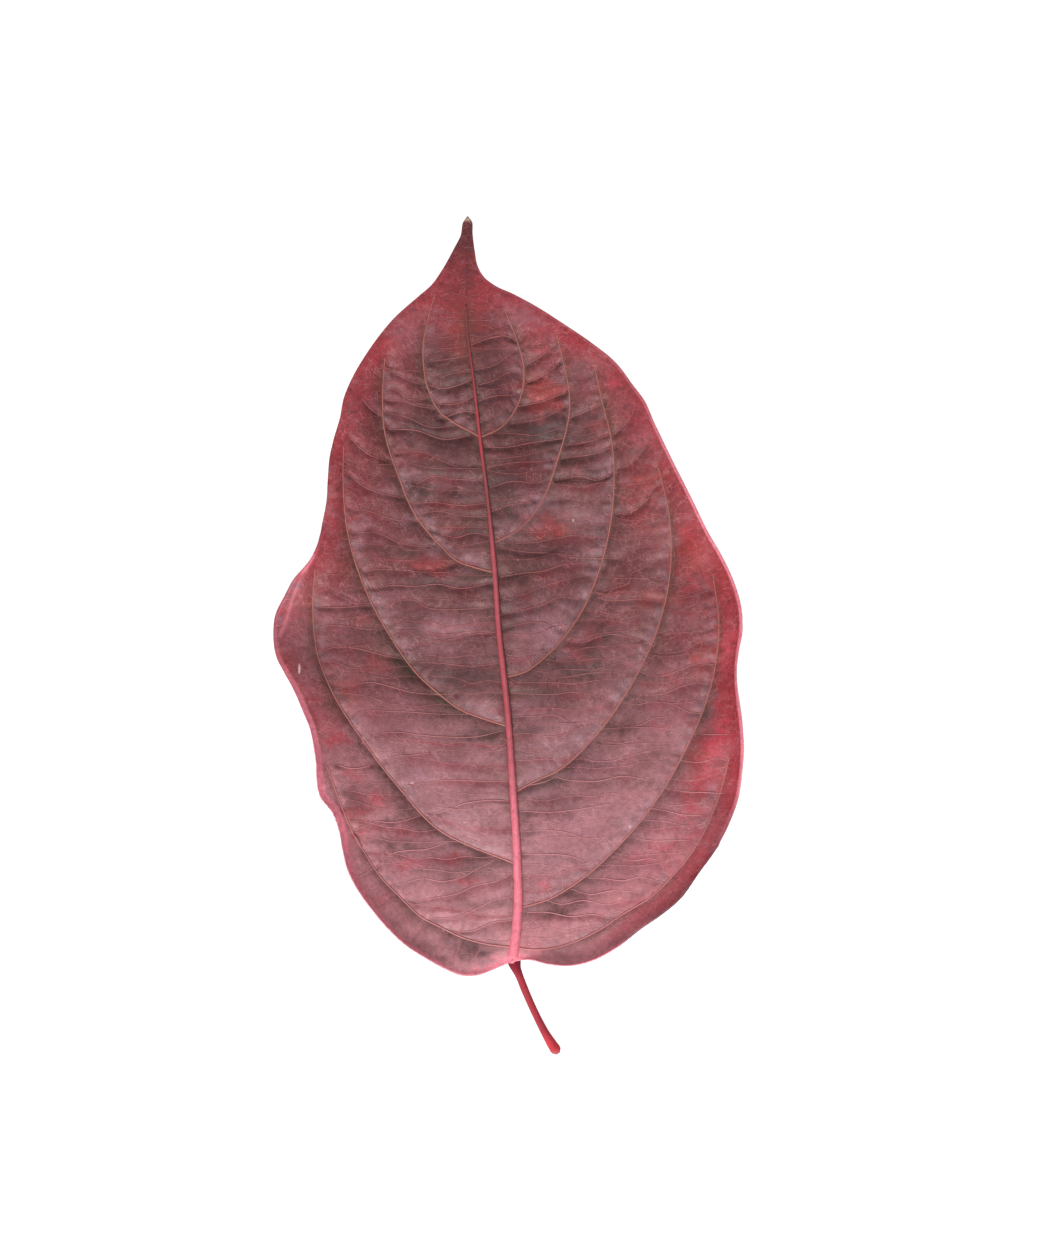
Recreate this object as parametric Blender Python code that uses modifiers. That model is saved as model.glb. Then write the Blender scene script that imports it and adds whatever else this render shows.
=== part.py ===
"""One autumn leaf of the dogwood kind, lying on a surface with its upper face up.

The leaf grew as one piece, so it is one solid: a thin waved blade whose margin curls up, arching side
veins that groove its upper face and ridge its underside, and a midrib that runs on into the leaf stalk.

Lengths are millimetres, and MM turns them into metres. The plan is the leaf seen from above, with +Y
from the stalk to the tip and +X to the right. The origin is the middle of the leaf's box, on the surface.
"""

import math

import bmesh
import bpy
import numpy as np

MM = 0.001

# The blade's thickness, between its veins and at them, how wide a vein's ridge is, how far from the
# margin it starts to thin out, and the radius that the margin curls up to.
BLADE_THICKNESS = 0.6
RIB_THICKNESS = 1.15
RIB_REACH = 0.7
RIB_FADE = 6.0
CURL_RADIUS = 1.8

# The quilting between the side veins and the puckers across it, which lie closer to level than the
# veins do and wander by two waves, each with its height, its turns per mm in x and y, and its start.
QUILT_HEIGHT = 0.75
QUILT_REACH = 1.9
PUCKER_HEIGHT = 0.22
PUCKER_LENGTH = 5.6
PUCKER_SLANT = 0.28
PUCKER_WAVES = ((1.4, 0.21, 0.13, 0.0), (0.9, 0.37, -0.09, 1.2))
CALM_MARGIN = 2.5

# How finely the blade is split: columns on each half, and rows along the midrib, which fan out from
# its base to the whole of the lower margin and so lie closer together there.
HALF_COLUMNS = 18
BASE_ROWS = 5
ROW_SPACINGS = ((-42, 0.8), (-31, 1.2), (-21, 2.2), (0, 3.0), (26, 3.3), (56, 3.3))
BESIDE_VEIN = 0.8
CLOSEST_ROWS = 0.4
TIP_FADE = 3

MARGIN_CROWDING = 1.5
LOWER_MARGIN_POINTS = 160
HEIGHT_SLACK = 0.000001

# Points are compared with the curves in blocks of this many. The smooth distance to the margin sums over
# every eighth of the margin's points and counts no squared distance as less than this.
BLOCK = 1000
CURVE_SPACING = 0.1
SOFT_STRIDE = 8
LEAST_SQUARE = 0.8

# The half width that the margin's slope is worked out from.
HALF_WIDTH = 27.0

# The midrib from the notch to the tip, as x and y.
MIDRIB = [
    (0.6, -43.85), (1.1, -40.4), (1.4, -36.4), (1.25, -29.7), (0.72, -20.8), (-0.08, -9.6),
    (-1.18, 0.5), (-1.8, 9.2), (-2.8, 19.2), (-3.56, 25.1), (-4.6, 34.4), (-5.5, 41.8),
    (-5.65, 48.0), (-5.55, 56.24),
]

# The outline from the notch to the tip, as x, y, the curl of the margin there in degrees, up or down,
# and how far the blade has risen by there above its midrib.
RIGHT_MARGIN = [
    (0.6, -43.85, 0, 0), (2.6, -43.6, 35, 0.6), (5.4, -44.1, 80, 1.2), (8.2, -44.3, 85, 1.8),
    (11.0, -43.7, 80, 2.4), (14.5, -41.9, 70, 3.2), (17.7, -39.4, 64, 3.6), (20.8, -37.2, 62, 4.4),
    (22.9, -35.4, 66, 4.6), (25.7, -31.6, 70, 4.8), (28.0, -28.4, 64, 5.6), (29.6, -25.2, 62, 5.4),
    (30.8, -21.9, 66, 5.0), (31.3, -18.4, 70, 5.6), (31.55, -15.0, 62, 6.4), (31.4, -12.0, 56, 6.6),
    (31.0, -8.9, 62, 5.8), (30.65, -6.2, 74, 5.2), (30.65, -4.2, 74, 5.2), (30.95, -2.2, 62, 5.8),
    (31.35, 0.0, 54, 6.6), (31.4, 2.0, 52, 6.9), (31.1, 4.4, 52, 6.6), (30.3, 7.0, 50, 6.2),
    (28.6, 10.2, 48, 5.8), (26.5, 13.6, 42, 5.9), (24.2, 18.1, 36, 5.8), (21.5, 23.5, 28, 5.0),
    (19.3, 28.1, 20, 4.8), (17.9, 31.0, 14, 4.6), (16.4, 33.6, 10, 3.9), (14.2, 36.6, 8, 3.4),
    (11.2, 39.1, 8, 3.2), (7.4, 41.7, 8, 2.5), (4.0, 43.9, 6, 2.2), (0.9, 45.6, 4, 1.7),
    (-2.0, 47.0, 2, 1.1), (-3.2, 48.0, 0, 0.8), (-4.0, 49.4, 0, 0.6), (-4.4, 51.4, 0, 0.4),
    (-4.75, 53.8, 0, 0.2), (-5.1, 55.6, 0, 0.1), (-5.55, 56.24, 0, 0),
]
LEFT_MARGIN = [
    (0.6, -43.85, 0, 0), (-0.5, -44.3, 8, 0.3), (-2.0, -44.95, 30, 0.7), (-3.8, -45.6, 46, 1.0),
    (-6.0, -45.7, 50, 1.4), (-8.3, -44.8, 56, 2.0), (-10.9, -43.3, 66, 2.6), (-13.6, -41.5, 76, 3.0),
    (-16.0, -39.2, 80, 3.6), (-18.1, -36.7, 78, 4.2), (-20.1, -33.9, 74, 4.6), (-21.4, -31.3, 70, 4.6),
    (-22.1, -28.6, 74, 4.2), (-22.6, -26.0, 78, 4.2), (-23.5, -23.7, 70, 4.8), (-24.8, -21.4, 60, 5.4),
    (-25.4, -19.4, 58, 5.6), (-25.6, -17.3, 62, 5.4), (-25.9, -15.2, 64, 5.2), (-26.4, -12.8, 60, 5.2),
    (-27.4, -10.3, 50, 5.4), (-28.6, -7.6, 34, 5.2), (-29.9, -5.2, 12, 4.6), (-31.1, -2.8, -12, 3.7),
    (-31.5, 0.2, -24, 3.0), (-31.3, 2.4, -24, 3.0), (-29.9, 5.3, -12, 3.8), (-28.5, 7.7, 6, 4.8),
    (-27.6, 8.7, 16, 5.2), (-26.5, 10.0, 26, 5.5), (-25.4, 12.4, 32, 5.4), (-24.8, 15.2, 32, 5.0),
    (-24.3, 17.8, 30, 5.2), (-24.1, 20.8, 24, 5.4), (-23.9, 23.5, 20, 5.0), (-23.3, 26.2, 18, 4.6),
    (-22.5, 28.9, 16, 4.6), (-22.0, 31.5, 12, 4.4), (-20.7, 34.6, 10, 3.8), (-18.9, 37.6, 8, 3.6),
    (-17.3, 39.9, 8, 3.3), (-15.4, 42.2, 6, 2.8), (-11.9, 45.4, 4, 2.3), (-10.2, 46.9, 2, 1.8),
    (-8.8, 48.9, 0, 1.2), (-7.2, 51.8, 0, 0.6), (-6.3, 53.6, 0, 0.3), (-5.95, 55.2, 0, 0.1),
    (-5.55, 56.24, 0, 0),
]

# Where each half's bottom row leaves the margin, and where its top row joins it.
RIGHT_CORNERS = ((28.0, -28.4), (-5.1, 55.6))
LEFT_CORNERS = ((-22.6, -26.0), (-5.95, 55.2))

# The side veins, each with its foot's height on the midrib and its route out along the margin, as x and
# y. A row of the blade follows the route's first points, as many as stated, and then turns out to the
# margin at the point that comes last.
LEFT_VEINS = [
    (-41.9, [(-3.4, -41.35), (-6.5, -40.4), (-11.4, -37.9), (-14.5, -35.0), (-17.15, -32.15),
             (-20.5, -26.8), (-22.6, -21.8), (-24.2, -17.3)], 6, (-23.6, -23.6)),
    (-30.8, [(-1.6, -29.7), (-4.5, -28.6), (-9.2, -26.2), (-14.5, -20.6), (-19.4, -14.15),
             (-23.4, -7.8), (-25.5, -2.5), (-26.1, 3.8), (-25.7, 9.0)], 6, (-31.2, -2.4)),
    (-12.35, [(-3.2, -11.3), (-6.5, -10.0), (-11.9, -5.6), (-15.6, -0.5), (-18.9, 5.6),
              (-21.4, 13.6), (-22.0, 20.7), (-21.9, 25.6)], 6, (-24.2, 19.3)),
    (8.3, [(-4.7, 9.1), (-8.9, 11.85), (-12.3, 15.9), (-14.7, 21.4), (-16.5, 27.3),
           (-16.7, 33.1), (-16.4, 37.5)], 5, (-20.7, 34.6)),
    (26.4, [(-4.6, 27.0), (-7.0, 28.3), (-10.4, 32.25), (-11.35, 37.6), (-10.7, 42.3),
            (-9.6, 46.0)], 4, (-12.9, 44.5)),
]
RIGHT_VEINS = [
    (-41.9, [(3.9, -42.2), (6.45, -41.9), (11.6, -39.9), (15.4, -37.4), (19.2, -35.0),
             (22.0, -32.3), (25.1, -28.3), (28.3, -21.4), (29.7, -16.0)], 7, (30.0, -24.2)),
    (-36.7, [(5.7, -35.4), (9.5, -33.1), (14.4, -28.8), (20.3, -21.6), (24.6, -13.75),
             (27.2, -6.9), (28.25, 1.1), (27.4, 8.5)], 6, (31.35, 0.0)),
    (-21.3, [(3.8, -19.6), (6.5, -18.4), (11.4, -14.0), (16.7, -6.5), (20.5, 2.0),
             (21.9, 10.4), (21.6, 16.0), (20.1, 22.6)], 6, (24.8, 17.0)),
    (-5.8, [(2.5, -4.9), (5.15, -2.9), (9.4, 2.2), (12.5, 9.3), (14.2, 18.6), (14.0, 25.5),
            (12.6, 31.5), (11.6, 36.0)], 5, (18.6, 29.5)),
    (12.2, [(0.4, 13.45), (3.7, 16.5), (6.8, 23.8), (8.35, 31.0), (7.3, 37.2), (6.5, 40.5)],
     4, (11.2, 39.1)),
    (26.4, [(-0.9, 27.8), (1.5, 31.2), (2.2, 35.5), (1.2, 39.6), (-0.6, 44.0)], 3, (2.0, 44.9)),
]

# Height of the midrib's top, and of the low belly on each side of it, at a few places along the leaf.
MIDRIB_HEIGHTS = (
    (-44, 3.6), (-30, 3.1), (-12, 2.6), (8, 2.7), (26, 3.2), (40, 3.0), (50, 2.2), (56.3, 1.2),
)
BELLY_HEIGHTS = (
    (-44, 3.3), (-28, 2.0), (-8, 0.65), (10, 0.0), (28, 1.1), (42, 2.1), (56.3, 1.2),
)
BELLY_PLACE = 0.4
RISE_POWER = 2.4
FULL_WIDTH = 11.0

# The midrib and stalk as a cord: x, y, the height of its middle and its radius for the stalk, and the
# radius alone at a few places along the midrib.
STALK = [
    (6.45, -56.0, 0.62, 0.76), (5.95, -55.2, 0.62, 0.66), (5.09, -53.7, 0.8, 0.53),
    (4.17, -51.9, 1.2, 0.45), (3.1, -49.6, 1.75, 0.43), (2.2, -47.4, 2.25, 0.45),
    (1.45, -45.5, 2.7, 0.55),
]
MIDRIB_RADII = (
    (-43.85, 0.85), (-41, 0.74), (-36, 0.64), (-28, 0.53), (-14, 0.44), (10, 0.36), (26, 0.32),
    (42, 0.28), (50, 0.24),
)
MIDRIB_END = 50.0
CORD_STEP = 1.6
STALK_STEP = 1.1
CORD_SINK = 0.35
SUNK_POINTS = 2
WELD_DISTANCE = 0.01


def along(stations, where):
    """A value read off a few (place, value) stations, eased between them."""
    places = np.array([place for place, _ in stations], float)
    values = np.array([value for _, value in stations], float)
    slopes = np.gradient(values, places)
    where = np.clip(where, places[0], places[-1])
    left = np.clip(np.searchsorted(places, where, side="right") - 1, 0, len(places) - 2)
    return hermite(places, values[:, None], slopes[:, None], left, where)[..., 0]


def hermite(places, values, slopes, left, where):
    """The cubic through values with the slopes given, at where, in the spans that start at left."""
    span = places[left + 1] - places[left]
    t = ((where - places[left]) / span)[..., None]
    span = span[..., None]
    return (
        (2 * t**3 - 3 * t**2 + 1) * values[left]
        + (t**3 - 2 * t**2 + t) * span * slopes[left]
        + (3 * t**2 - 2 * t**3) * values[left + 1]
        + (t**3 - t**2) * span * slopes[left + 1]
    )


def smooth_curve(route, spacing=CURVE_SPACING):
    """Points at an even spacing on a smooth curve through a route's own points."""
    route = np.array(route, float)
    chords = np.linalg.norm(np.diff(route[:, :2], axis=0), axis=1)
    places = np.concatenate([[0.0], np.cumsum(chords)])
    slopes = np.gradient(route, places, axis=0)
    where = np.linspace(0.0, places[-1], round(places[-1] / spacing) + 1)
    left = np.clip(np.searchsorted(places, where, side="right") - 1, 0, len(places) - 2)
    return hermite(places, route, slopes, left, where)


def lengths_along(curve):
    """The length of a curve up to each of its points."""
    steps = np.linalg.norm(np.diff(curve[:, :2], axis=0), axis=1)
    return np.concatenate([[0.0], np.cumsum(steps)])


def point_at(curve, fraction):
    """The curve's point at a fraction of its length."""
    lengths = lengths_along(curve)
    where = np.asarray(fraction, float) * lengths[-1]
    return np.stack([np.interp(where, lengths, curve[:, i]) for i in range(2)], axis=-1)


def fraction_near(curve, point):
    """The fraction of the curve's length that lies nearest a point."""
    lengths = lengths_along(curve)
    nearest = np.argmin(np.linalg.norm(curve[:, :2] - np.array(point, float), axis=1))
    return lengths[nearest] / lengths[-1]


def outward(curve, side):
    """Unit normals in plan that point out of the blade, for a margin on side -1 or +1."""
    heading = np.gradient(curve[:, :2], axis=0)
    heading /= np.linalg.norm(heading, axis=1)[:, None]
    return side * np.stack([heading[:, 1], -heading[:, 0]], axis=1)


def flat_margin(outline, side):
    """The margin before it curls, so that once curled the leaf's outline is the one listed."""
    curve = smooth_curve(outline)
    curl = np.radians(np.abs(curve[:, 2]))
    slope = np.arctan(RISE_POWER * curve[:, 3] / HALF_WIDTH)
    drawn_in = CURL_RADIUS * (curl - np.sin(np.minimum(curl, math.pi / 2)))
    wall = BLADE_THICKNESS * np.sin(np.minimum(curl + slope, math.pi / 2))
    curve[:, :2] += outward(curve, side) * (drawn_in - wall)[:, None]
    return curve


def nearest_on(curve, points):
    """For each point, how far the curve is in plan, and the index of its nearest point on it."""
    index = np.empty(len(points), int)
    gap = np.empty(len(points))
    for start in range(0, len(points), BLOCK):
        block = points[start:start + BLOCK, None, :] - curve[None, :, :2]
        squares = (block**2).sum(axis=2)
        nearest = squares.argmin(axis=1)
        index[start:start + BLOCK] = nearest
        gap[start:start + BLOCK] = np.sqrt(squares[np.arange(len(nearest)), nearest])
    return gap, index


def soft_margin(margin, points):
    """A smooth distance to the margin, and the margin's rise blended over the parts near each point."""
    margin = margin[::SOFT_STRIDE]
    spacing = SOFT_STRIDE * CURVE_SPACING
    gap = np.empty(len(points))
    rise = np.empty(len(points))
    for start in range(0, len(points), BLOCK):
        block = points[start:start + BLOCK, None, :] - margin[None, :, :2]
        squares = (block**2).sum(axis=2) + LEAST_SQUARE
        weights = squares**-3
        total = weights.sum(axis=1)
        gap[start:start + BLOCK] = (total * spacing / (3 * math.pi / 8)) ** -0.2
        rise[start:start + BLOCK] = (weights * margin[:, 3]).sum(axis=1) / total
    return gap, rise


def eased(value):
    """A step from 0 to 1 that starts and ends gently."""
    value = np.clip(value, 0.0, 1.0)
    return value * value * (3 - 2 * value)


class Leaf:
    """The leaf's curves in plan, and the form that lifts them out of it."""

    def __init__(self):
        self.midrib = smooth_curve(MIDRIB)
        self.margins = {-1: flat_margin(LEFT_MARGIN, -1), 1: flat_margin(RIGHT_MARGIN, 1)}
        self.corners = {-1: LEFT_CORNERS, 1: RIGHT_CORNERS}
        self.guides = {-1: self.guide(LEFT_VEINS, -1), 1: self.guide(RIGHT_VEINS, 1)}
        self.edge = np.vstack([self.margins[-1], self.margins[1]])
        self.normals = np.vstack([outward(self.margins[s], s) for s in (-1, 1)])
        veins = [self.vein(height, route) for height, route, _, _ in LEFT_VEINS + RIGHT_VEINS]
        self.ribs = np.vstack([self.midrib] + veins)

    def midrib_point(self, height):
        """The midrib's point at a height y of the plan."""
        return np.array([np.interp(height, self.midrib[:, 1], self.midrib[:, 0]), height])

    def vein(self, height, route):
        """A side vein as a smooth curve from its foot on the midrib."""
        return smooth_curve([self.midrib_point(height)] + route)

    def guide(self, veins, side):
        """The lines that one half's rows follow: each side vein, then the turn out to the margin."""
        margin = self.margins[side]
        guides = []
        for height, route, kept, reach in veins:
            end = fraction_near(margin, reach)
            line = self.vein(height, route[:kept] + [tuple(point_at(margin, end))])
            guides.append((height, line, end))
        return guides

    def rows_of(self, side):
        """The lines that the half's rows follow, with their heights on the midrib and ends on the margin.

        The lowest is the lower margin itself, then come the side veins, and the tip's end is straight.
        """
        margin = self.margins[side]
        low, high = (fraction_near(margin, corner) for corner in self.corners[side])
        lower_margin = point_at(margin, np.linspace(0, low, LOWER_MARGIN_POINTS))
        bottom = (self.midrib[0, 1], lower_margin, low)
        top = (self.midrib[-1, 1], point_at(margin, np.array([1, high])), high)
        return [bottom] + self.guides[side] + [top]

    def row(self, side, height, columns):
        """One half's row that starts at a height of the midrib, in plan: a patch between two lines."""
        lines = self.rows_of(side)
        place = max(i for i in range(len(lines) - 1) if lines[i][0] <= height + HEIGHT_SLACK)
        (low_y, low, low_end), (high_y, high, high_end) = lines[place], lines[place + 1]
        f = (height - low_y) / (high_y - low_y)
        u = columns[:, None]
        below = point_at(low, columns)
        above = point_at(high, columns)
        inner = self.midrib_point(height)
        outer = point_at(self.margins[side], low_end + f * (high_end - low_end))
        bend_below = below - (1 - u) * below[0] - u * below[-1]
        bend_above = above - (1 - u) * above[0] - u * above[-1]
        fade = (1 - f) ** (TIP_FADE if place == len(lines) - 2 else 1)
        return (1 - u) * inner + u * outer + fade * bend_below + f * bend_above

    def lift(self, points):
        """Plan points raised to the upper face's form: belly, risen sides, quilting and curled margin."""
        to_midrib, _ = nearest_on(self.midrib, points)
        to_edge, near = nearest_on(self.edge, points)
        to_rib, _ = nearest_on(self.ribs, points)
        soft, rise = soft_margin(self.edge, points)
        y = points[:, 1]
        width = to_midrib + soft
        out = to_midrib / width
        breadth = 1 - np.exp(-((width / FULL_WIDTH) ** 2))
        spine = along(MIDRIB_HEIGHTS, y)
        sag = spine - along(BELLY_HEIGHTS, y)
        z = spine + breadth * (rise * out**RISE_POWER - sag * eased(out / BELLY_PLACE))
        z += self.relief(points, to_rib, to_edge) * breadth
        margin = self.edge[near]
        curl = np.radians(margin[:, 2])
        reach = CURL_RADIUS * np.abs(curl)
        turned = np.maximum(0.0, (reach - to_edge) / CURL_RADIUS)
        inward = CURL_RADIUS * (np.sin(turned) - turned)
        plan = points + self.normals[near] * inward[:, None]
        z += np.sign(curl) * CURL_RADIUS * (1 - np.cos(turned))
        return np.column_stack([plan, z])

    def relief(self, points, to_rib, to_edge):
        """Quilting between the side veins, and the puckers of the net of small veins across it."""
        x, y = points[:, 0], points[:, 1]
        between = 1 - np.exp(-to_rib / QUILT_REACH)
        inside = 1 - np.exp(-to_edge / CALM_MARGIN)
        wander = sum(height * np.sin(a * x + b * y + start) for height, a, b, start in PUCKER_WAVES)
        phase = 2 * math.pi * (y - PUCKER_SLANT * np.abs(x) + wander) / PUCKER_LENGTH
        return between * inside * (QUILT_HEIGHT + PUCKER_HEIGHT * np.sin(phase))

    def rib_weights(self, points):
        """How thick the blade is at each plan point, as a share of its thickness at a vein's foot."""
        to_rib, _ = nearest_on(self.ribs, points)
        to_edge, _ = nearest_on(self.edge, points)
        rib = np.exp(-((to_rib / RIB_REACH) ** 2)) * eased(to_edge / RIB_FADE)
        return (BLADE_THICKNESS + (RIB_THICKNESS - BLADE_THICKNESS) * rib) / RIB_THICKNESS


def row_heights():
    """Where rows leave the midrib: at each side vein's foot, just beside it, and evenly between."""
    base, tip = MIDRIB[0][1], MIDRIB[-1][1]
    feet = sorted({vein[0] for vein in LEFT_VEINS + RIGHT_VEINS})
    beside = [foot + step for foot in feet for step in (-BESIDE_VEIN, BESIDE_VEIN)]
    clear = [y for y in beside if min(abs(y - foot) for foot in feet) > CLOSEST_ROWS]
    apart = [y for y in clear if y > feet[0]]
    heights = list(np.linspace(base, feet[0], BASE_ROWS + 1))
    for height in sorted(feet[1:] + apart + [tip]):
        gap = height - heights[-1]
        count = max(1, round(gap / along(ROW_SPACINGS, heights[-1])))
        heights += list(np.linspace(heights[-1], height, count + 1)[1:])
    return heights


def place_vertices(sheet, order, points):
    """Move the grid's vertices, in their reading order, to the points given in millimetres."""
    for vertex, point in zip(order, points):
        sheet.verts[vertex].co = point * MM


def make_blade(leaf, material):
    """The blade: a grid whose lines follow the side veins, raised to the leaf's form and made solid."""
    heights = row_heights()
    columns = 1 - (1 - np.linspace(0, 1, HALF_COLUMNS + 1)) ** MARGIN_CROWDING
    rows = [np.vstack([leaf.row(-1, y, columns)[:0:-1], leaf.row(1, y, columns)]) for y in heights]
    plan = np.vstack(rows)
    mesh = bpy.data.meshes.new("leaf")
    sheet = bmesh.new()
    bmesh.ops.create_grid(sheet, x_segments=2 * HALF_COLUMNS, y_segments=len(heights) - 1, size=1.0)
    sheet.verts.ensure_lookup_table()
    order = sorted(range(len(sheet.verts)), key=lambda i: (sheet.verts[i].co.y, sheet.verts[i].co.x))
    place_vertices(sheet, order, np.column_stack([plan, np.zeros(len(plan))]))
    bmesh.ops.triangulate(sheet, faces=sheet.faces, quad_method="BEAUTY")
    place_vertices(sheet, order, leaf.lift(plan))
    sheet.to_mesh(mesh)
    sheet.free()
    blade = bpy.data.objects.new("leaf", mesh)
    blade.data.materials.append(material)
    group = blade.vertex_groups.new(name="rib thickness")
    weights = leaf.rib_weights(plan)
    for slot, vertex in enumerate(order):
        group.add([vertex], float(weights[slot]), "REPLACE")
    solid = blade.modifiers.new("thickness", "SOLIDIFY")
    solid.thickness = RIB_THICKNESS * MM
    solid.offset = -1.0
    solid.vertex_group = group.name
    return blade


def cord_path(leaf):
    """The middle line and radius of the stalk and midrib, from the stalk's end towards the tip.

    The midrib stands proud of the blade, and its last points sink into the blade's thickness.
    """
    start = MIDRIB[0][1]
    heights = np.arange(start, MIDRIB_END, CORD_STEP)
    spine = np.array([leaf.midrib_point(y) for y in heights])
    radii = along(MIDRIB_RADII, heights)
    tops = leaf.lift(spine)[:, 2]
    middles = tops - CORD_SINK * radii
    middles[-SUNK_POINTS:] = tops[-SUNK_POINTS:] - BLADE_THICKNESS / 2
    midrib = np.column_stack([spine, middles, radii])
    stalk = smooth_curve(STALK + [tuple(midrib[0])], STALK_STEP)
    return np.vstack([stalk[:-1], midrib])


def make_cord(leaf):
    """The stalk and midrib as a tapered tube with welded caps."""
    path = cord_path(leaf)
    curve = bpy.data.curves.new("midrib and stalk", "CURVE")
    curve.dimensions = "3D"
    curve.bevel_depth = MM
    curve.bevel_resolution = 2
    curve.use_fill_caps = True
    spline = curve.splines.new("POLY")
    spline.points.add(len(path) - 1)
    for point, (x, y, z, radius) in zip(spline.points, path):
        point.co = (x * MM, y * MM, z * MM, 1.0)
        point.radius = radius
    drawn = bpy.data.objects.new("midrib and stalk", curve)
    bpy.context.scene.collection.objects.link(drawn)
    evaluated = drawn.evaluated_get(bpy.context.evaluated_depsgraph_get())
    mesh = bpy.data.meshes.new_from_object(evaluated)
    bpy.data.objects.remove(drawn)
    tube = bmesh.new()
    tube.from_mesh(mesh)
    bmesh.ops.remove_doubles(tube, verts=tube.verts, dist=WELD_DISTANCE * MM)
    bmesh.ops.recalc_face_normals(tube, faces=tube.faces)
    bmesh.ops.triangulate(tube, faces=tube.faces)
    tube.to_mesh(mesh)
    tube.free()
    return bpy.data.objects.new("cord", mesh)


def settle(leaf_object):
    """Lay the leaf on the surface: what would sink below it is pressed flat, on a few small spots."""
    for vertex in leaf_object.data.vertices:
        vertex.co.z = max(0.0, vertex.co.z)


def leaf_material():
    """Dull crimson, a little glossy, as the photographed leaf's upper face."""
    material = bpy.data.materials.new("leaf")
    material.use_nodes = True
    shader = material.node_tree.nodes["Principled BSDF"]
    shader.inputs["Base Color"].default_value = (0.27, 0.07, 0.08, 1.0)
    shader.inputs["Roughness"].default_value = 0.5
    shader.inputs["Metallic"].default_value = 0.0
    return material


def apply_modifiers(thing):
    """The object's mesh as its modifiers leave it, with none left on it."""
    evaluated = thing.evaluated_get(bpy.context.evaluated_depsgraph_get())
    mesh = bpy.data.meshes.new_from_object(evaluated)
    thing.modifiers.clear()
    thing.data = mesh


def make_leaf():
    """The whole leaf, one solid: the blade joined with its midrib and stalk, laid on the surface."""
    collection = bpy.data.collections.new("autumn leaf")
    bpy.context.scene.collection.children.link(collection)
    leaf = Leaf()
    blade = make_blade(leaf, leaf_material())
    cord = make_cord(leaf)
    for thing in (blade, cord):
        collection.objects.link(thing)
    union = blade.modifiers.new("midrib and stalk", "BOOLEAN")
    union.operation = "UNION"
    union.solver = "EXACT"
    union.object = cord
    apply_modifiers(blade)
    bpy.data.objects.remove(cord)
    settle(blade)
    return blade


for old in list(bpy.data.objects):
    bpy.data.objects.remove(old)
make_leaf()
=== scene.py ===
"""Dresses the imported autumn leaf: a fine waved blade with its net of veins, its midrib and its stalk.

Lengths are millimetres, and MM turns them into metres. The plan is the leaf seen from above, with +Y
from the stalk to the tip and +X to the right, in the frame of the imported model.
"""

import math
import random

import bpy
import numpy as np
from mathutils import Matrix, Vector, kdtree


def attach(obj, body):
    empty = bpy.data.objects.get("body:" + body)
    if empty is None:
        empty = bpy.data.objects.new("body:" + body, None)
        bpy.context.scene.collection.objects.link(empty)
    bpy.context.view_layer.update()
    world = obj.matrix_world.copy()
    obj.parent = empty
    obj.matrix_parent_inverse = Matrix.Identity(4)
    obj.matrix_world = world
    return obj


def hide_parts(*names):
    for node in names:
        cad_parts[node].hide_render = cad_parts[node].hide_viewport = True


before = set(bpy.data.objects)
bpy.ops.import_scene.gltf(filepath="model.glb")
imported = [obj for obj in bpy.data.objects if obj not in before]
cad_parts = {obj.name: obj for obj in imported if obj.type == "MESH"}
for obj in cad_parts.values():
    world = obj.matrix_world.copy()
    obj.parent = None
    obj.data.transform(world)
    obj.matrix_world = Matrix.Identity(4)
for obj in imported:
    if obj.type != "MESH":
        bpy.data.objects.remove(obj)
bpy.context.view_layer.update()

MM = 0.001

# The blade's thickness, the radius that its margin curls up to, and how finely it is split.
BLADE_THICKNESS = 0.34
MARGIN_THINNING = 0.6
THINNING_REACH = 0.8
CURL_RADIUS = 1.8
HALF_COLUMNS = 112
MARGIN_CROWDING = 1.3
LOWER_MARGIN_POINTS = 500
TIP_FADE = 3
HEIGHT_SLACK = 0.000001

# How far from the right half's lower corner the grid is evened out, and how many times.
CORNER_REACH = 5.0
CORNER_ROUNDS = 500

# The quilting between the side veins, as how high it stands and how soon, and that between small veins.
QUILT_HEIGHT = 0.75
QUILT_REACH = 1.9
QUILT_CREASE = 0.25
PUCKER_DEPTH = 0.62
PUCKER_REACH = 0.6
PUCKER_CREASE = 0.2
PUCKER_SPREAD = 2.6
PUCKER_LEAST = ((-44, 0.12), (-10, 0.16), (4, 0.28), (56, 0.28))
SWELLS = ((0.17, 0.74, 0.31, 0.4), (0.14, -0.42, 0.93, 2.0), (0.1, 1.23, -0.66, 4.1))
CALM_MARGIN = 2.5

# How wide a strip beside each rib stays free of puckers, and the height that they lie about.
RIB_CLEARANCE = 0.45
PUCKER_LEVEL = 0.3

# Short wrinkles square to the veins: how high they stand, how far apart, how far out they run, how much
# their spacing sways, and the share of them on the side of a vein that faces the base.
WRINKLE_HEIGHT = 0.16
WRINKLE_SPACINGS = (1.9, 7.3)
WRINKLE_REACH = 1.5
WRINKLE_SWAY = 1.6
BASAL_SHARE = 0.45

# The smooth distance to the margin sums over every eighth of the margin's points.
CURVE_SPACING = 0.1
SOFT_STRIDE = 8
LEAST_SQUARE = 0.8
BLOCK = 1000

# The blade's usual half width, and how far apart the points are that a normal is taken from.
HALF_WIDTH = 27.0
NORMAL_STEP = 0.3

# The midrib from the notch to the tip, as x and y.
MIDRIB = [
    (0.6, -43.85), (1.1, -40.4), (1.4, -36.4), (1.25, -29.7), (0.72, -20.8), (-0.08, -9.6),
    (-1.18, 0.5), (-1.8, 9.2), (-2.8, 19.2), (-3.56, 25.1), (-4.6, 34.4), (-5.5, 41.8),
    (-5.6, 48.0), (-5.4, 56.24),
]

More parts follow.
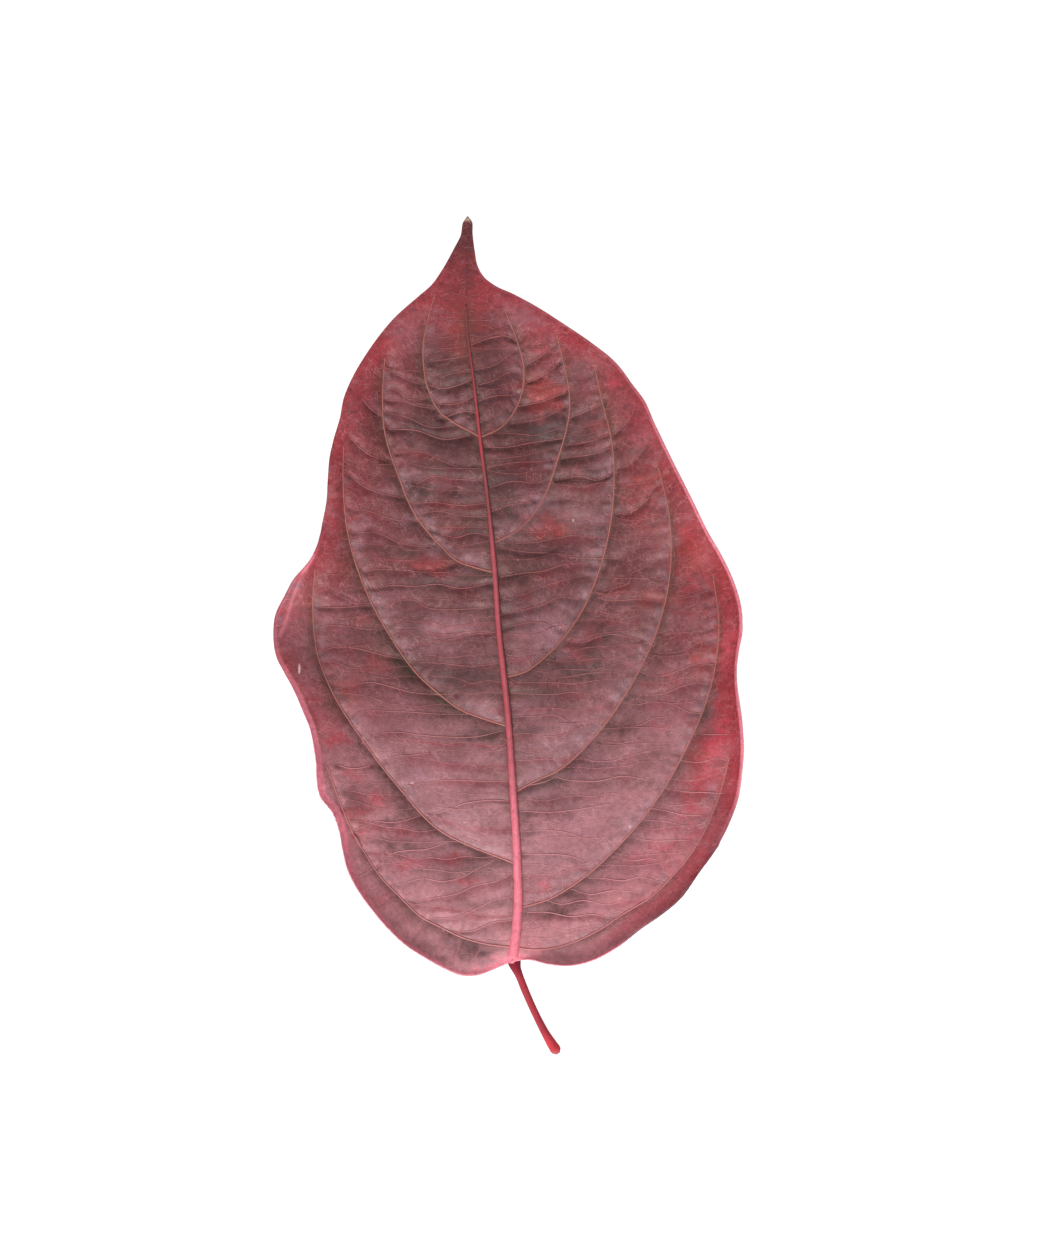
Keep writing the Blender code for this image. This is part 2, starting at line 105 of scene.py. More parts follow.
# The outline from the notch to the tip, as x, y, the curl of the margin there in degrees, up or down,
# and how far the blade has risen by there above its midrib.
RIGHT_MARGIN = [
    (0.6, -43.85, 0, 0), (2.6, -43.6, 35, 0.6), (5.4, -44.1, 80, 1.2), (8.2, -44.3, 85, 1.8),
    (11.0, -43.7, 80, 2.4), (14.5, -41.9, 70, 3.2), (17.7, -39.4, 64, 3.6), (20.8, -37.2, 62, 4.4),
    (22.9, -35.4, 66, 4.6), (25.7, -31.6, 62, 4.8), (28.0, -28.4, 54, 5.6), (29.6, -25.2, 56, 5.4),
    (30.8, -21.9, 66, 5.0), (31.3, -18.4, 70, 5.6), (31.55, -15.0, 62, 6.4), (31.4, -12.0, 56, 6.6),
    (31.0, -8.9, 62, 5.8), (30.65, -6.2, 74, 5.2), (30.65, -4.2, 74, 5.2), (30.95, -2.2, 62, 5.8),
    (31.35, 0.0, 54, 6.6), (31.4, 2.0, 52, 6.9), (31.1, 4.4, 52, 6.6), (30.3, 7.0, 50, 6.2),
    (28.8, 10.3, 48, 5.8), (26.8, 13.8, 42, 5.9), (24.6, 18.3, 36, 5.8), (21.9, 23.7, 28, 5.0),
    (19.7, 28.3, 20, 4.8), (18.4, 31.2, 14, 4.6), (16.8, 33.4, 10, 3.9), (14.6, 36.3, 8, 3.4),
    (11.2, 39.1, 8, 3.2), (7.4, 41.7, 8, 2.5), (4.0, 43.9, 6, 2.2), (0.9, 45.6, 4, 1.7),
    (-2.0, 47.0, 2, 1.1), (-3.2, 48.0, 0, 0.8), (-4.0, 49.4, 0, 0.6), (-4.4, 51.4, 0, 0.4),
    (-4.7, 53.8, 0, 0.2), (-4.85, 55.6, 0, 0.1), (-5.4, 56.24, 0, 0),
]
LEFT_MARGIN = [
    (0.6, -43.85, 0, 0), (-0.5, -44.3, 8, 0.3), (-2.0, -44.95, 30, 0.7), (-3.8, -45.6, 46, 1.0),
    (-6.0, -45.7, 50, 1.4), (-8.3, -44.8, 56, 2.0), (-10.9, -43.3, 66, 2.6), (-13.6, -41.5, 76, 3.0),
    (-16.0, -39.2, 80, 3.6), (-18.1, -36.7, 78, 4.2), (-20.1, -33.9, 74, 4.6), (-21.4, -31.3, 70, 4.6),
    (-22.1, -28.6, 64, 4.2), (-22.6, -26.0, 56, 4.2), (-23.5, -23.7, 54, 4.8), (-25.1, -21.6, 54, 5.4),
    (-25.5, -19.6, 58, 5.6), (-25.6, -17.3, 62, 5.4), (-25.9, -15.2, 64, 5.2), (-26.4, -12.8, 60, 5.2),
    (-27.4, -10.3, 50, 5.4), (-28.6, -7.6, 34, 5.2), (-29.9, -5.2, 12, 4.6), (-31.1, -2.8, -12, 3.7),
    (-31.5, 0.2, -24, 3.0), (-31.3, 2.4, -24, 3.0), (-29.9, 5.3, -12, 3.8), (-28.5, 7.7, 6, 4.8),
    (-27.6, 8.7, 16, 5.2), (-26.5, 10.0, 26, 5.5), (-25.4, 12.4, 32, 5.4), (-24.8, 15.2, 32, 5.0),
    (-24.3, 17.8, 30, 5.2), (-24.1, 20.8, 24, 5.4), (-23.9, 23.5, 20, 5.0), (-23.3, 26.2, 18, 4.6),
    (-22.5, 28.9, 16, 4.6), (-22.0, 31.5, 12, 4.4), (-20.7, 34.6, 10, 3.8), (-18.9, 37.6, 8, 3.6),
    (-17.3, 39.9, 8, 3.3), (-15.4, 42.2, 6, 2.8), (-11.9, 45.4, 4, 2.3), (-10.2, 46.9, 2, 1.8),
    (-8.8, 48.9, 0, 1.2), (-7.2, 51.8, 0, 0.6), (-6.3, 53.6, 0, 0.3), (-5.97, 55.4, 0, 0.1),
    (-5.4, 56.24, 0, 0),
]

# Where each half's bottom row leaves the margin, and where its top row joins it.
RIGHT_CORNERS = ((28.0, -28.4), (-4.85, 55.6))
LEFT_CORNERS = ((-22.6, -26.0), (-5.97, 55.4))

# The side veins from the base up, each with its foot's height on the midrib and its route, as x and y.
# A row of the blade follows the route's first points, as many as stated, and then turns out to the
# margin at the point that comes last.
LEFT_VEINS = [
    (-41.9, [(-3.4, -41.35), (-6.5, -40.4), (-8.9, -39.2), (-11.4, -37.9), (-14.5, -35.0),
             (-17.15, -32.15), (-18.9, -29.5), (-20.5, -26.8), (-22.6, -21.8), (-24.2, -17.3)],
     8, (-23.6, -23.6)),
    (-30.8, [(-1.6, -29.7), (-4.5, -28.6), (-9.2, -26.2), (-14.5, -20.6), (-19.4, -14.15),
             (-23.4, -7.8), (-25.5, -2.5), (-26.1, 3.8), (-25.7, 9.0)], 6, (-31.2, -2.4)),
    (-12.35, [(-3.2, -11.3), (-6.5, -10.0), (-9.2, -8.0), (-11.9, -5.6), (-15.6, -0.5),
              (-18.9, 5.6), (-21.4, 13.6), (-22.0, 20.7), (-21.9, 25.6)], 7, (-24.2, 19.3)),
    (8.3, [(-4.7, 9.1), (-6.7, 9.85), (-8.9, 11.85), (-12.3, 15.9), (-14.7, 21.4), (-16.5, 27.3),
           (-16.7, 33.1), (-16.4, 37.5)], 6, (-20.7, 34.6)),
    (26.4, [(-4.6, 27.0), (-7.0, 28.3), (-9.1, 29.9), (-10.4, 32.25), (-11.35, 37.6), (-10.7, 42.3),
            (-9.6, 46.0)], 5, (-12.9, 44.5)),
]
RIGHT_VEINS = [
    (-41.9, [(3.9, -42.2), (6.45, -41.9), (11.6, -39.9), (15.4, -37.4), (19.2, -35.0),
             (22.0, -32.3), (25.1, -28.3), (28.3, -21.4), (29.7, -16.0)], 7, (30.0, -24.2)),
    (-36.7, [(5.7, -35.4), (9.5, -33.1), (14.4, -28.8), (20.3, -21.6), (24.6, -13.75),
             (27.2, -6.9), (28.25, 1.1), (27.4, 8.5)], 6, (31.35, 0.0)),
    (-21.3, [(3.8, -19.6), (6.5, -18.4), (11.4, -14.0), (16.7, -6.5), (20.5, 2.0),
             (21.9, 10.4), (21.6, 16.0), (20.1, 22.6)], 6, (24.8, 17.0)),
    (-5.8, [(2.5, -4.9), (5.15, -2.9), (9.4, 2.2), (12.5, 9.3), (14.2, 18.6), (14.0, 25.5),
            (12.6, 31.5), (11.6, 36.0)], 5, (18.6, 29.5)),
    (12.2, [(0.4, 13.45), (2.2, 14.8), (3.7, 16.5), (6.8, 23.8), (8.35, 31.0), (7.3, 37.2),
            (6.5, 40.5)], 5, (11.2, 39.1)),
    (26.4, [(-0.9, 27.8), (1.5, 31.2), (2.2, 35.5), (1.2, 39.6), (-0.6, 44.0)], 3, (2.0, 44.9)),
]

# How far apart rows leave the midrib, and how many times as far the last one before a vein's foot may
# lie. They fan out from the midrib's base, so they lie closer together there.
LONGEST_STEP = 1.5
ROW_SPACINGS = (
    (-43.9, 0.12), (-42, 0.13), (-38, 0.16), (-31, 0.2), (-21, 0.24), (0, 0.28), (26, 0.3), (57, 0.34),
)

# Height of the midrib's top, and of the low belly on each side of it, at a few places along the leaf.
MIDRIB_HEIGHTS = (
    (-44, 3.6), (-30, 3.1), (-12, 2.6), (8, 2.7), (26, 3.2), (40, 3.0), (50, 2.2), (56.3, 1.2),
)
BELLY_HEIGHTS = (
    (-44, 3.3), (-28, 2.0), (-8, 0.65), (10, 0.0), (28, 1.1), (42, 2.1), (56.3, 1.2),
)
BELLY_PLACE = 0.4
RISE_POWER = 2.4
FULL_WIDTH = 11.0

# The stalk's middle line as x, y, height and radius, from its cut end up under the blade.
STALK = [
    (6.78, -56.3, 0.74, 0.3), (6.7, -56.18, 0.74, 0.52), (6.55, -55.95, 0.77, 0.68),
    (6.05, -55.2, 0.7, 0.68), (5.14, -53.7, 0.84, 0.56), (4.2, -51.9, 1.2, 0.5),
    (3.13, -49.6, 1.75, 0.49), (2.2, -47.4, 2.25, 0.51), (1.5, -45.6, 2.55, 0.54),
    (1.15, -44.8, 2.55, 0.66), (0.95, -44.2, 2.5, 0.84), (1.0, -41.5, 2.5, 0.7),
    (1.3, -38.5, 2.2, 0.5),
]
MIDRIB_RADII = (
    (-43.85, 1.0), (-42.4, 0.8), (-41, 0.72), (-36, 0.64), (-28, 0.54), (-14, 0.44),
    (10, 0.34), (18, 0.26), (26, 0.25), (36, 0.17), (46, 0.1), (52, 0.06),
)
STALK_SPACING = 0.4

# Where the midrib's cord ends, how proud of the blade it stands, and how it is rounded at its base.
MIDRIB_END = 44.5
MIDRIB_PROUD = ((-44, 0.35), (-41.5, 0.75), (-37, 1.0), (56, 1.0))
BASE_ROUNDING = 0.7
MIDRIB_UNEVEN = (0.95, 1.05)
BASE_STEPS = (0.02, 0.07, 0.16, 0.3)
FIRST_STEP = 0.5
MIDRIB_STEP = 0.35

# The veins' radii at the foot and how much thinner they end, how far each stands out of the blade, and
# every how many points of its curve its cord has one. Below zero a vein stands out of the underside.
SIDE_RADII = (0.125, 0.05)
SIDE_PROUD = 0.85
SIDE_STRIDE = 2
SMALL_RADII = (0.085, 0.03)
SMALL_PROUD = 1.3
SMALL_STRIDE = 2
FAINTEST = 0.4
RIB_RADII = (0.34, 0.22)
RIB_PROUD = -1.0
RIB_STRIDE = 6
SPINE_SHARE = 1.1
SPINE_PROUD = -1.1
SPINE_ENDS = (3.0, 46.0)
SPINE_STEP = 0.8

# A side vein lies at most this far under the blade's face, which is felt for from well above.
VEIN_SUNK = 0.02
WELL_ABOVE = 40.0

# How round a thick tube, a fine one and a hair-fine one are, and how near its points are merged.
THICK_ROUNDNESS = 4
FINE_ROUNDNESS = 2
HAIR_ROUNDNESS = 0
MERGE_DISTANCE = 0.002


def along(stations, where):
    """A value read off a few (place, value) stations, eased between them."""
    places = np.array([place for place, _ in stations], float)
    values = np.array([value for _, value in stations], float)
    slopes = np.gradient(values, places)
    where = np.clip(where, places[0], places[-1])
    left = np.clip(np.searchsorted(places, where, side="right") - 1, 0, len(places) - 2)
    return hermite(places, values[:, None], slopes[:, None], left, where)[..., 0]


def hermite(places, values, slopes, left, where):
    """The cubic through values with the slopes given, at where, in the spans that start at left."""
    span = places[left + 1] - places[left]
    t = ((where - places[left]) / span)[..., None]
    span = span[..., None]
    return (
        (2 * t**3 - 3 * t**2 + 1) * values[left]
        + (t**3 - 2 * t**2 + t) * span * slopes[left]
        + (3 * t**2 - 2 * t**3) * values[left + 1]
        + (t**3 - t**2) * span * slopes[left + 1]
    )


def smooth_curve(route, spacing=CURVE_SPACING):
    """Points at an even spacing on a smooth curve through a route's own points."""
    route = np.array(route, float)
    chords = np.linalg.norm(np.diff(route[:, :2], axis=0), axis=1)
    places = np.concatenate([[0.0], np.cumsum(chords)])
    slopes = np.gradient(route, places, axis=0)
    where = np.linspace(0.0, places[-1], max(2, round(places[-1] / spacing) + 1))
    left = np.clip(np.searchsorted(places, where, side="right") - 1, 0, len(places) - 2)
    return hermite(places, route, slopes, left, where)


def lengths_along(curve):
    """The length of a curve up to each of its points."""
    steps = np.linalg.norm(np.diff(curve[:, :2], axis=0), axis=1)
    return np.concatenate([[0.0], np.cumsum(steps)])


def point_at(curve, fraction):
    """The curve's point at a fraction of its length."""
    lengths = lengths_along(curve)
    where = np.asarray(fraction, float) * lengths[-1]
    return np.stack([np.interp(where, lengths, curve[:, i]) for i in range(2)], axis=-1)


def fraction_near(curve, point):
    """The fraction of the curve's length that lies nearest a point."""
    lengths = lengths_along(curve)
    nearest = np.argmin(np.linalg.norm(curve[:, :2] - np.array(point, float), axis=1))
    return lengths[nearest] / lengths[-1]


def outward(curve, side):
    """Unit normals in plan that point out of the blade, for a margin on side -1 or +1."""
    heading = np.gradient(curve[:, :2], axis=0)
    heading /= np.linalg.norm(heading, axis=1)[:, None]
    return side * np.stack([heading[:, 1], -heading[:, 0]], axis=1)


def flat_margin(outline, side):
    """The margin before it curls, so that once curled the leaf's outline is the one listed."""
    curve = smooth_curve(outline)
    curl = np.radians(np.abs(curve[:, 2]))
    slope = np.arctan(RISE_POWER * curve[:, 3] / HALF_WIDTH)
    drawn_in = CURL_RADIUS * (curl - np.sin(np.minimum(curl, math.pi / 2)))
    wall = BLADE_THICKNESS * (1 - MARGIN_THINNING) * np.sin(np.minimum(curl + slope, math.pi / 2))
    curve[:, :2] += outward(curve, side) * (drawn_in - wall)[:, None]
    return curve


def eased(value):
    """A step from 0 to 1 that starts and ends gently."""
    value = np.clip(value, 0.0, 1.0)
    return value * value * (3 - 2 * value)


def ramp(value, start, end):
    """0 at start and 1 at end, which may be the lower one, eased between them."""
    return eased((value - start) / (end - start))


def bell(distance, reach):
    """1 at no distance, falling off as a bell curve of that reach."""
    return np.exp(-((distance / reach) ** 2))


def waves(points, listed):
    """A sum of waves across the plan, listed as height, rate along x, rate along y and start."""
    x, y = points.T
    return sum(height * np.sin(a * x + b * y + start) for height, a, b, start in listed)


class Curves:
    """A set of curves in plan that can be asked how near they come to any points."""

    def __init__(self, curves):
        self.points = np.vstack([curve[:, :2] for curve in curves])
        self.headings = np.vstack([np.gradient(curve[:, :2], axis=0) for curve in curves])
        self.tree = kdtree.KDTree(len(self.points))
        for index, (x, y) in enumerate(self.points):
            self.tree.insert((x, y, 0.0), index)
        self.tree.balance()
        self.runs = np.concatenate([lengths_along(curve[:, :2]) for curve in curves])

    def nearest(self, points):
        """For each point, the distance to the nearest curve and the index of its nearest point there."""
        found = [self.tree.find((x, y, 0.0)) for x, y in points]
        return np.array([hit[2] for hit in found]), np.array([hit[1] for hit in found])

    def side_of(self, points, near):
        """Positive where a point lies to the left of the curve's heading, negative to its right."""
        to_point = points - self.points[near]
        heading = self.headings[near]
        return heading[:, 0] * to_point[:, 1] - heading[:, 1] * to_point[:, 0]


def soft_margin(margin, points):
    """A smooth distance to the margin, and the margin's rise blended over the parts near each point.

    Seen from a distance d, a straight margin sums to 3 pi / 8 over d to the fifth, so the fifth root of
    that gives d back.
    """
    margin = margin[::SOFT_STRIDE]
    spacing = SOFT_STRIDE * CURVE_SPACING
    gap = np.empty(len(points))
    rise = np.empty(len(points))
    for start in range(0, len(points), BLOCK):
        block = points[start:start + BLOCK, None, :] - margin[None, :, :2]
        squares = (block**2).sum(axis=2) + LEAST_SQUARE
        weights = squares**-3
        total = weights.sum(axis=1)
        gap[start:start + BLOCK] = (total * spacing / (3 * math.pi / 8)) ** -0.2
        rise[start:start + BLOCK] = (weights * margin[:, 3]).sum(axis=1) / total
    return gap, rise


class Leaf:
    """The leaf's curves in plan, and the form that lifts them out of it."""

    def __init__(self):
        self.midrib = smooth_curve(MIDRIB)
        self.margins = {-1: flat_margin(LEFT_MARGIN, -1), 1: flat_margin(RIGHT_MARGIN, 1)}
        self.corners = {-1: LEFT_CORNERS, 1: RIGHT_CORNERS}
        self.guides = {-1: self.guide(LEFT_VEINS, -1), 1: self.guide(RIGHT_VEINS, 1)}
        self.edge = np.vstack([self.margins[-1], self.margins[1]])
        self.normals = np.vstack([outward(self.margins[s], s) for s in (-1, 1)])
        self.veins = {
            -1: [self.vein(height, route) for height, route, _, _ in LEFT_VEINS],
            1: [self.vein(height, route) for height, route, _, _ in RIGHT_VEINS],
        }
        self.near_edge = Curves([self.margins[-1], self.margins[1]])
        self.near_midrib = Curves([self.midrib])
        self.near_ribs = Curves([self.midrib] + self.veins[-1] + self.veins[1])
        draw = random.Random(SMALL_SEED)
        drawn = [(photo_curve(route), draw.uniform(*DRAWN_STRENGTH)) for route in SMALL_VEINS]
        self.small_veins = drawn + grow_small_veins(self, Curves([vein for vein, _ in drawn]))
        strengths = [strength * along(SMALL_SHARES, vein[:, 1]) for vein, strength in self.small_veins]
        self.near_small = Curves([vein for vein, _ in self.small_veins])
        self.small_strengths = np.concatenate(strengths)

    def midrib_x(self, height):
        """The midrib's x at a height y of the plan, or at each of several."""
        return np.interp(height, self.midrib[:, 1], self.midrib[:, 0])

    def midrib_point(self, height):
        """The midrib's point at a height y of the plan, or at each of several."""
        return np.stack([self.midrib_x(height), height], axis=-1)

    def vein(self, height, route):
        """A side vein as a smooth curve from its foot on the midrib."""
        return smooth_curve([self.midrib_point(height)] + route)

    def guide(self, veins, side):
        """The lines that one half's rows follow: each side vein, then the turn out to the margin."""
        margin = self.margins[side]
        guides = []
        for height, route, kept, reach in veins:
            end = fraction_near(margin, reach)
            line = self.vein(height, route[:kept] + [tuple(point_at(margin, end))])
            guides.append((height, line, end))
        return guides

    def rows_of(self, side):
        """The lines that the half's rows follow, with their heights on the midrib and ends on the margin.

        The lowest is the lower margin itself, then come the side veins, and the tip's end is straight.
        """
        margin = self.margins[side]
        low, high = (fraction_near(margin, corner) for corner in self.corners[side])
        lower_margin = point_at(margin, np.linspace(0, low, LOWER_MARGIN_POINTS))
        bottom = (self.midrib[0, 1], lower_margin, low)
        top = (self.midrib[-1, 1], point_at(margin, np.array([1, high])), high)
        return [bottom] + self.guides[side] + [top]

    def row(self, side, height, columns, lines):
        """One half's row that starts at a height of the midrib, in plan: a patch between two lines."""
        place = max(i for i in range(len(lines) - 1) if lines[i][0] <= height + HEIGHT_SLACK)
        (low_y, low, low_end), (high_y, high, high_end) = lines[place], lines[place + 1]
        f = (height - low_y) / (high_y - low_y)
        u = columns[:, None]
        below = point_at(low, columns)
        above = point_at(high, columns)
        inner = self.midrib_point(height)
        outer = point_at(self.margins[side], low_end + f * (high_end - low_end))
        bend_below = below - (1 - u) * below[0] - u * below[-1]
        bend_above = above - (1 - u) * above[0] - u * above[-1]
        fade = (1 - f) ** (TIP_FADE if place == len(lines) - 2 else 1)
        return (1 - u) * inner + u * outer + fade * bend_below + f * bend_above

    def lift(self, points, relief=True):
        """Plan points raised to the upper face's form: belly, risen sides, quilting and curled margin."""
        to_midrib, _ = self.near_midrib.nearest(points)
        to_edge, near = self.near_edge.nearest(points)
        soft, rise = soft_margin(self.edge, points)
        y = points[:, 1]
        width = to_midrib + soft
        out = to_midrib / width
        breadth = 1 - bell(width, FULL_WIDTH)
        spine = along(MIDRIB_HEIGHTS, y)
        sag = spine - along(BELLY_HEIGHTS, y)
        z = spine + breadth * (rise * out**RISE_POWER - sag * eased(out / BELLY_PLACE))
        if relief:
            z += self.relief(points, to_edge) * breadth
        curl = np.radians(self.edge[near, 2])
        reach = CURL_RADIUS * np.abs(curl)
        turned = np.maximum(0.0, (reach - to_edge) / CURL_RADIUS)
        inward = CURL_RADIUS * (np.sin(turned) - turned)
        plan = points + self.normals[near] * inward[:, None]
        z += np.sign(curl) * CURL_RADIUS * (1 - np.cos(turned))
        return np.column_stack([plan, z])

    def relief(self, points, to_edge):
        """Quilting between the side veins, and the puckers between the small veins across it."""
        to_rib, rib = self.near_ribs.nearest(points)
        to_small, near = self.near_small.nearest(points)
        creased = np.sqrt(to_rib**2 + QUILT_CREASE**2) - QUILT_CREASE
        between = 1 - np.exp(-creased / QUILT_REACH)
        creased = np.sqrt(to_small**2 + PUCKER_CREASE**2) - PUCKER_CREASE
        valley = self.small_strengths[near] * np.exp(-creased / PUCKER_REACH)
        least = along(PUCKER_LEAST, points[:, 1])
        beside_rib = least + (1 - least) * np.exp(-to_rib / PUCKER_SPREAD)
        clear_of_rib = 1 - bell(to_rib, RIB_CLEARANCE)
        swell = waves(points, SWELLS)
        inside = 1 - np.exp(-to_edge / CALM_MARGIN)
        puckers = PUCKER_DEPTH * (PUCKER_LEVEL - valley) * beside_rib * clear_of_rib
        run = self.near_ribs.runs[rib]
        short, long = (2 * math.pi * run / spacing for spacing in WRINKLE_SPACINGS)
        share = np.where(self.apical(points, rib), 1.0, BASAL_SHARE)
        wrinkles = WRINKLE_HEIGHT * np.sin(short + WRINKLE_SWAY * np.sin(long)) * share * clear_of_rib
        wrinkles *= np.exp(-to_rib / WRINKLE_REACH)
        return inside * (QUILT_HEIGHT * between + puckers + wrinkles + swell * between)

    def apical(self, points, rib):
        """Which points lie on the side of their nearest rib that faces the tip."""
        half = np.sign(points[:, 0] - self.midrib_x(points[:, 1]))
        return self.near_ribs.side_of(points, rib) * half > 0

    def surface_frame(self, points):
        """The upper face at plan points, and its unit normals there without the relief."""
        there = self.lift(points)
        base = self.lift(points, relief=False)
        along_x = self.lift(points + np.array([NORMAL_STEP, 0.0]), relief=False) - base
        along_y = self.lift(points + np.array([0.0, NORMAL_STEP]), relief=False) - base
        normal = np.cross(along_x, along_y)
        return there, normal / np.linalg.norm(normal, axis=1)[:, None]


# The photo's scale, and where its pixels lie in plan.
PIXEL = 0.134
PHOTO_MIDDLE = (507.6, 634.4)

